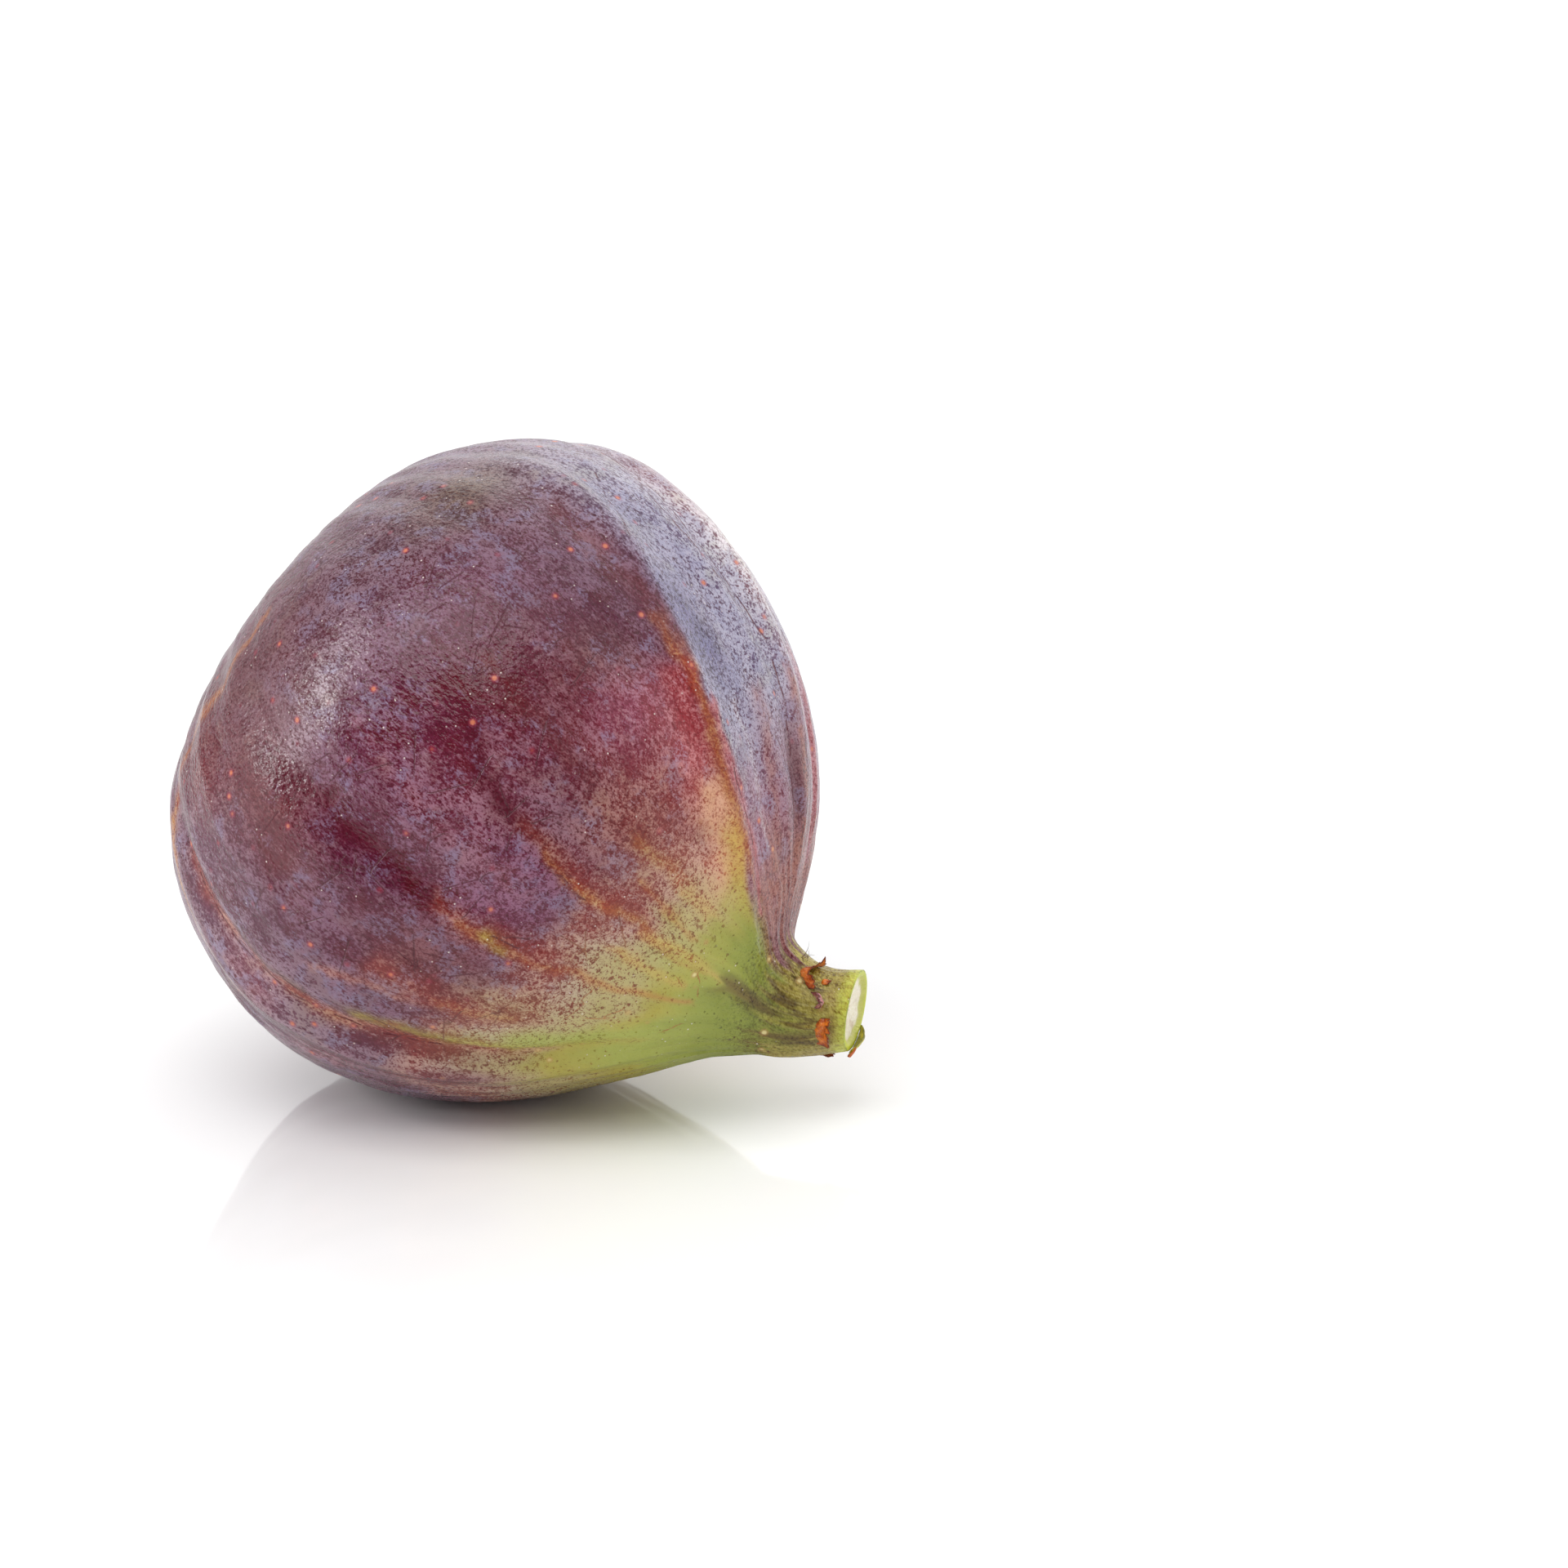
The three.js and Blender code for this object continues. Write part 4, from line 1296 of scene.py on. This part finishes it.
def hair_mesh(place, tall, bend_along, bend_round):
    """Points and faces of a thin tapering tube that bends."""
    station, degree = np.array(place, float)[:, None]
    point, out, ahead = (value[0] for value in on_stem(station, degree))
    round_way = np.cross(out, ahead)
    share = np.linspace(0, 1, HAIR_RINGS)[:, None]
    sway = bend_along * share**2 * ahead + bend_round * np.sin(2.5 * share) * share * round_way
    spine = point + out * (tall * share - HAIR_SUNK) + sway
    turn = np.arange(HAIR_SIDES) / HAIR_SIDES * 2 * np.pi
    circle = np.cos(turn)[:, None] * ahead + np.sin(turn)[:, None] * round_way
    radii = HAIR_RADIUS * (1 - HAIR_TAPER * share)
    points = (spine[:, None] + circle[None] * radii[..., None]).reshape(-1, 3)
    starts = HAIR_SIDES * np.arange(HAIR_RINGS)
    tube = [strip(ring, next_ring, HAIR_SIDES) for ring, next_ring in zip(starts, starts[1:])]
    caps = [list(range(HAIR_SIDES))[::-1], list(range(len(points) - HAIR_SIDES, len(points)))]
    return points, np.concatenate(tube).tolist() + caps


hair_points, hair_faces, start = [], [], 0
for station, degree, *form in HAIRS:
    one_points, one_faces = hair_mesh((station, degree), *form)
    hair_points.append(one_points)
    hair_faces += [[start + corner for corner in face] for face in one_faces]
    start += len(one_points)
stem_hairs = to_mesh("stem_hairs", lay(np.concatenate(hair_points)), hair_faces)

# %% [markdown]
# Dry bract is translucent and glossy, darkest where it is torn. The sliver is fresh peel with a
# dry tip. Each finish reads the marks that were kept on its mesh.

# %% Finishes of the small pieces
def make_scrap_finish():
    mat = Finish("dry_bract")
    place = mat.place()
    lump = mat.noise(place, 0.6, 3.0, 0.6)
    thread = mat.noise(place, 0.15, 2.0, 0.6, 7.0)
    orange = mat.mix(lump.step(0.35, 0.62), "9c3c0c", "e07c24")
    pink = mat.mix(lump.step(0.4, 0.6), "8a4446", "bc8484")
    dried = mat.mix(mat.painted("pinkness"), orange, pink)
    # pale flecks: partly the dry bract's own, partly painted glints of light
    flecked_and_glinting = mat.mix(thread.step(0.6, 0.72) * 0.5, dried, "f0c8a0")
    torn = (mat.painted("torn_edge") + thread - 0.5).step(0.3, 0.8)
    mat.bump(thread + lump, 0.8, 0.06)
    mat.let_light_in(0.35, (1.0, 0.35, 0.1), 0.5)
    edged = mat.mix(torn * 0.8, flecked_and_glinting, "4a1808")
    return mat.set(Base_Color=edged, Roughness=0.18 + thread * 0.25)


def make_peel_finish():
    mat = Finish("cut_peel")
    place = mat.place()
    lump = mat.noise(place, 0.5, 3.0, 0.6)
    thread = mat.noise(place, 0.12, 2.0, 0.6, 7.0)
    peel = mat.mix(lump.step(0.35, 0.65), "8c8c24", "c8b83c")
    torn = (mat.painted("torn_edge") + thread - 0.5).step(0.4, 0.9)
    dry = (mat.painted("dried_tip") + (lump - 0.5) * 0.6).step(0.35, 0.6)
    mat.bump(thread + lump, 0.6, 0.05)
    mat.let_light_in(0.3, (0.8, 1.0, 0.2), 0.5)
    tipped = mat.mix(dry, mat.mix(torn * 0.7, peel, "4c4c10"), "b85a1c")
    return mat.set(Base_Color=tipped, Roughness=0.28 + thread * 0.2)


def make_hair_finish():
    mat = Finish("dry_hair")
    lump = mat.noise(mat.place(), 0.3, 2.0, 0.6)
    brown = mat.mix(lump.step(0.4, 0.6), "3c2420", "8a6a58")
    return mat.set(Base_Color=brown, Roughness=0.4 + lump * 0.2)


for piece, finish in [
    (bract_scraps, make_scrap_finish()),
    (peel_sliver, make_peel_finish()),
    (stem_hairs, make_hair_finish()),
]:
    piece.data.materials.append(finish)
    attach(piece, "root")

# %% [markdown]
# ## Floor, light and camera
# The stage is a white glossy floor that runs on into white. Behind it the room is white too, and
# in front it is dim, so the front of the skin keeps its deep colour and only its far edges catch
# the white. A tall, narrow soft light at the left front gives the long shine on the cheek, a wide
# one beside it lifts the skin round the shine, and another wide one hangs overhead.

# %% Stage
FLOOR_SIZE = 3.0
FLOOR_WHITE = (0.92, 0.92, 0.92, 1)
FLOOR_GLOSS = 0.06
CAMERA_AZIMUTH = 24.0
CAMERA_ELEVATION = 17.0
# degrees from the camera to the middle of the white wall, and degrees up
WHITE_WALL = (127, 20)
# how far toward the white wall the change starts and ends, and the strengths before and after it
ROOM_CHANGE = (-0.2, 0.8, 0.15, 1.4)
LIGHTS_LOOK_AT = Vector((0, 0, 0.03))
# name, azimuth, elevation, distance, width and height in m, power in W
LIGHTS = [
    ("left_front", -50, 25, 0.8, 0.055, 0.34, 1.85),
    ("left_fill", -58, 18, 0.9, 0.8, 0.8, 3.0),
    ("overhead", 5, 58, 0.9, 0.8, 0.6, 4.8),
]


def toward(azimuth, elevation):
    """The direction of a place round the fruit: azimuth 0 is in front, and 90 to its right."""
    side, up = math.radians(azimuth), math.radians(elevation)
    return Vector((math.sin(side) * math.cos(up), -math.cos(side) * math.cos(up), math.sin(up)))


def make_floor():
    half = FLOOR_SIZE / MM / 2
    corners = [(-half, -half, 0), (half, -half, 0), (half, half, 0), (-half, half, 0)]
    floor = to_mesh("floor", corners, [(0, 1, 2, 3)])
    white = Finish("floor_white")
    white.set(Base_Color=FLOOR_WHITE, Roughness=FLOOR_GLOSS, Specular_IOR_Level=0.5)
    floor.data.materials.append(white.material)
    floor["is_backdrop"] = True


def look_from(name, data, target, azimuth, elevation, distance):
    """Adds a lamp or camera that looks at a point from a direction."""
    back = toward(azimuth, elevation)
    thing = bpy.data.objects.new(name, data)
    thing.location = target + back * distance
    thing.rotation_mode = "QUATERNION"
    thing.rotation_quaternion = back.to_track_quat("Z", "Y")
    bpy.context.scene.collection.objects.link(thing)
    return thing


def soft_light(name, azimuth, elevation, distance, width, height, power):
    data = bpy.data.lights.new(name, "AREA")
    data.shape = "RECTANGLE"
    data.size, data.size_y, data.energy = width, height, power
    look_from(name, data, LIGHTS_LOOK_AT, azimuth, elevation, distance)


def make_room():
    """A room that is dim in front of the fruit and white behind it."""
    world = bpy.data.worlds.new("white_room")
    world.use_nodes = True
    nodes, links = world.node_tree.nodes, world.node_tree.links
    direction = nodes.new("ShaderNodeTexCoord").outputs["Generated"]
    backward = nodes.new("ShaderNodeVectorMath")
    backward.operation = "DOT_PRODUCT"
    backward.inputs[1].default_value = toward(CAMERA_AZIMUTH + WHITE_WALL[0], WHITE_WALL[1])
    links.new(direction, backward.inputs[0])
    strength = nodes.new("ShaderNodeMapRange")
    strength.interpolation_type = "SMOOTHSTEP"
    for socket, value in enumerate(ROOM_CHANGE, 1):
        strength.inputs[socket].default_value = value
    links.new(backward.outputs["Value"], strength.inputs[0])
    background = nodes["Background"]
    background.inputs["Color"].default_value = (1, 1, 1, 1)
    links.new(strength.outputs[0], background.inputs["Strength"])
    bpy.context.scene.world = world


make_floor()
make_room()
for light in LIGHTS:
    soft_light(*light)
bpy.context.scene.view_settings.view_transform = "Standard"

# %% Camera
CAMERA_DISTANCE = 0.6
FRAME_WIDTH = 0.1263
SENSOR_WIDTH = 36.0
LOOK_AT = Vector((17.85, 10.17, 24.66)) * MM

data = bpy.data.cameras.new("camera")
data.sensor_width = SENSOR_WIDTH
data.lens = SENSOR_WIDTH * CAMERA_DISTANCE / FRAME_WIDTH
data.clip_start = 0.01
camera = look_from("camera", data, LOOK_AT, CAMERA_AZIMUTH, CAMERA_ELEVATION, CAMERA_DISTANCE)
bpy.context.scene.camera = camera
print("the camera's lens is", round(data.lens, 1), "mm")

# %% Sizes
visual_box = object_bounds()
sizes = {"cad": [list(corner) for corner in cad_box], "visual": [list(corner) for corner in visual_box]}
for name, box in sizes.items():
    print(name, "box in mm", np.round(np.array(box) / MM, 2).tolist())
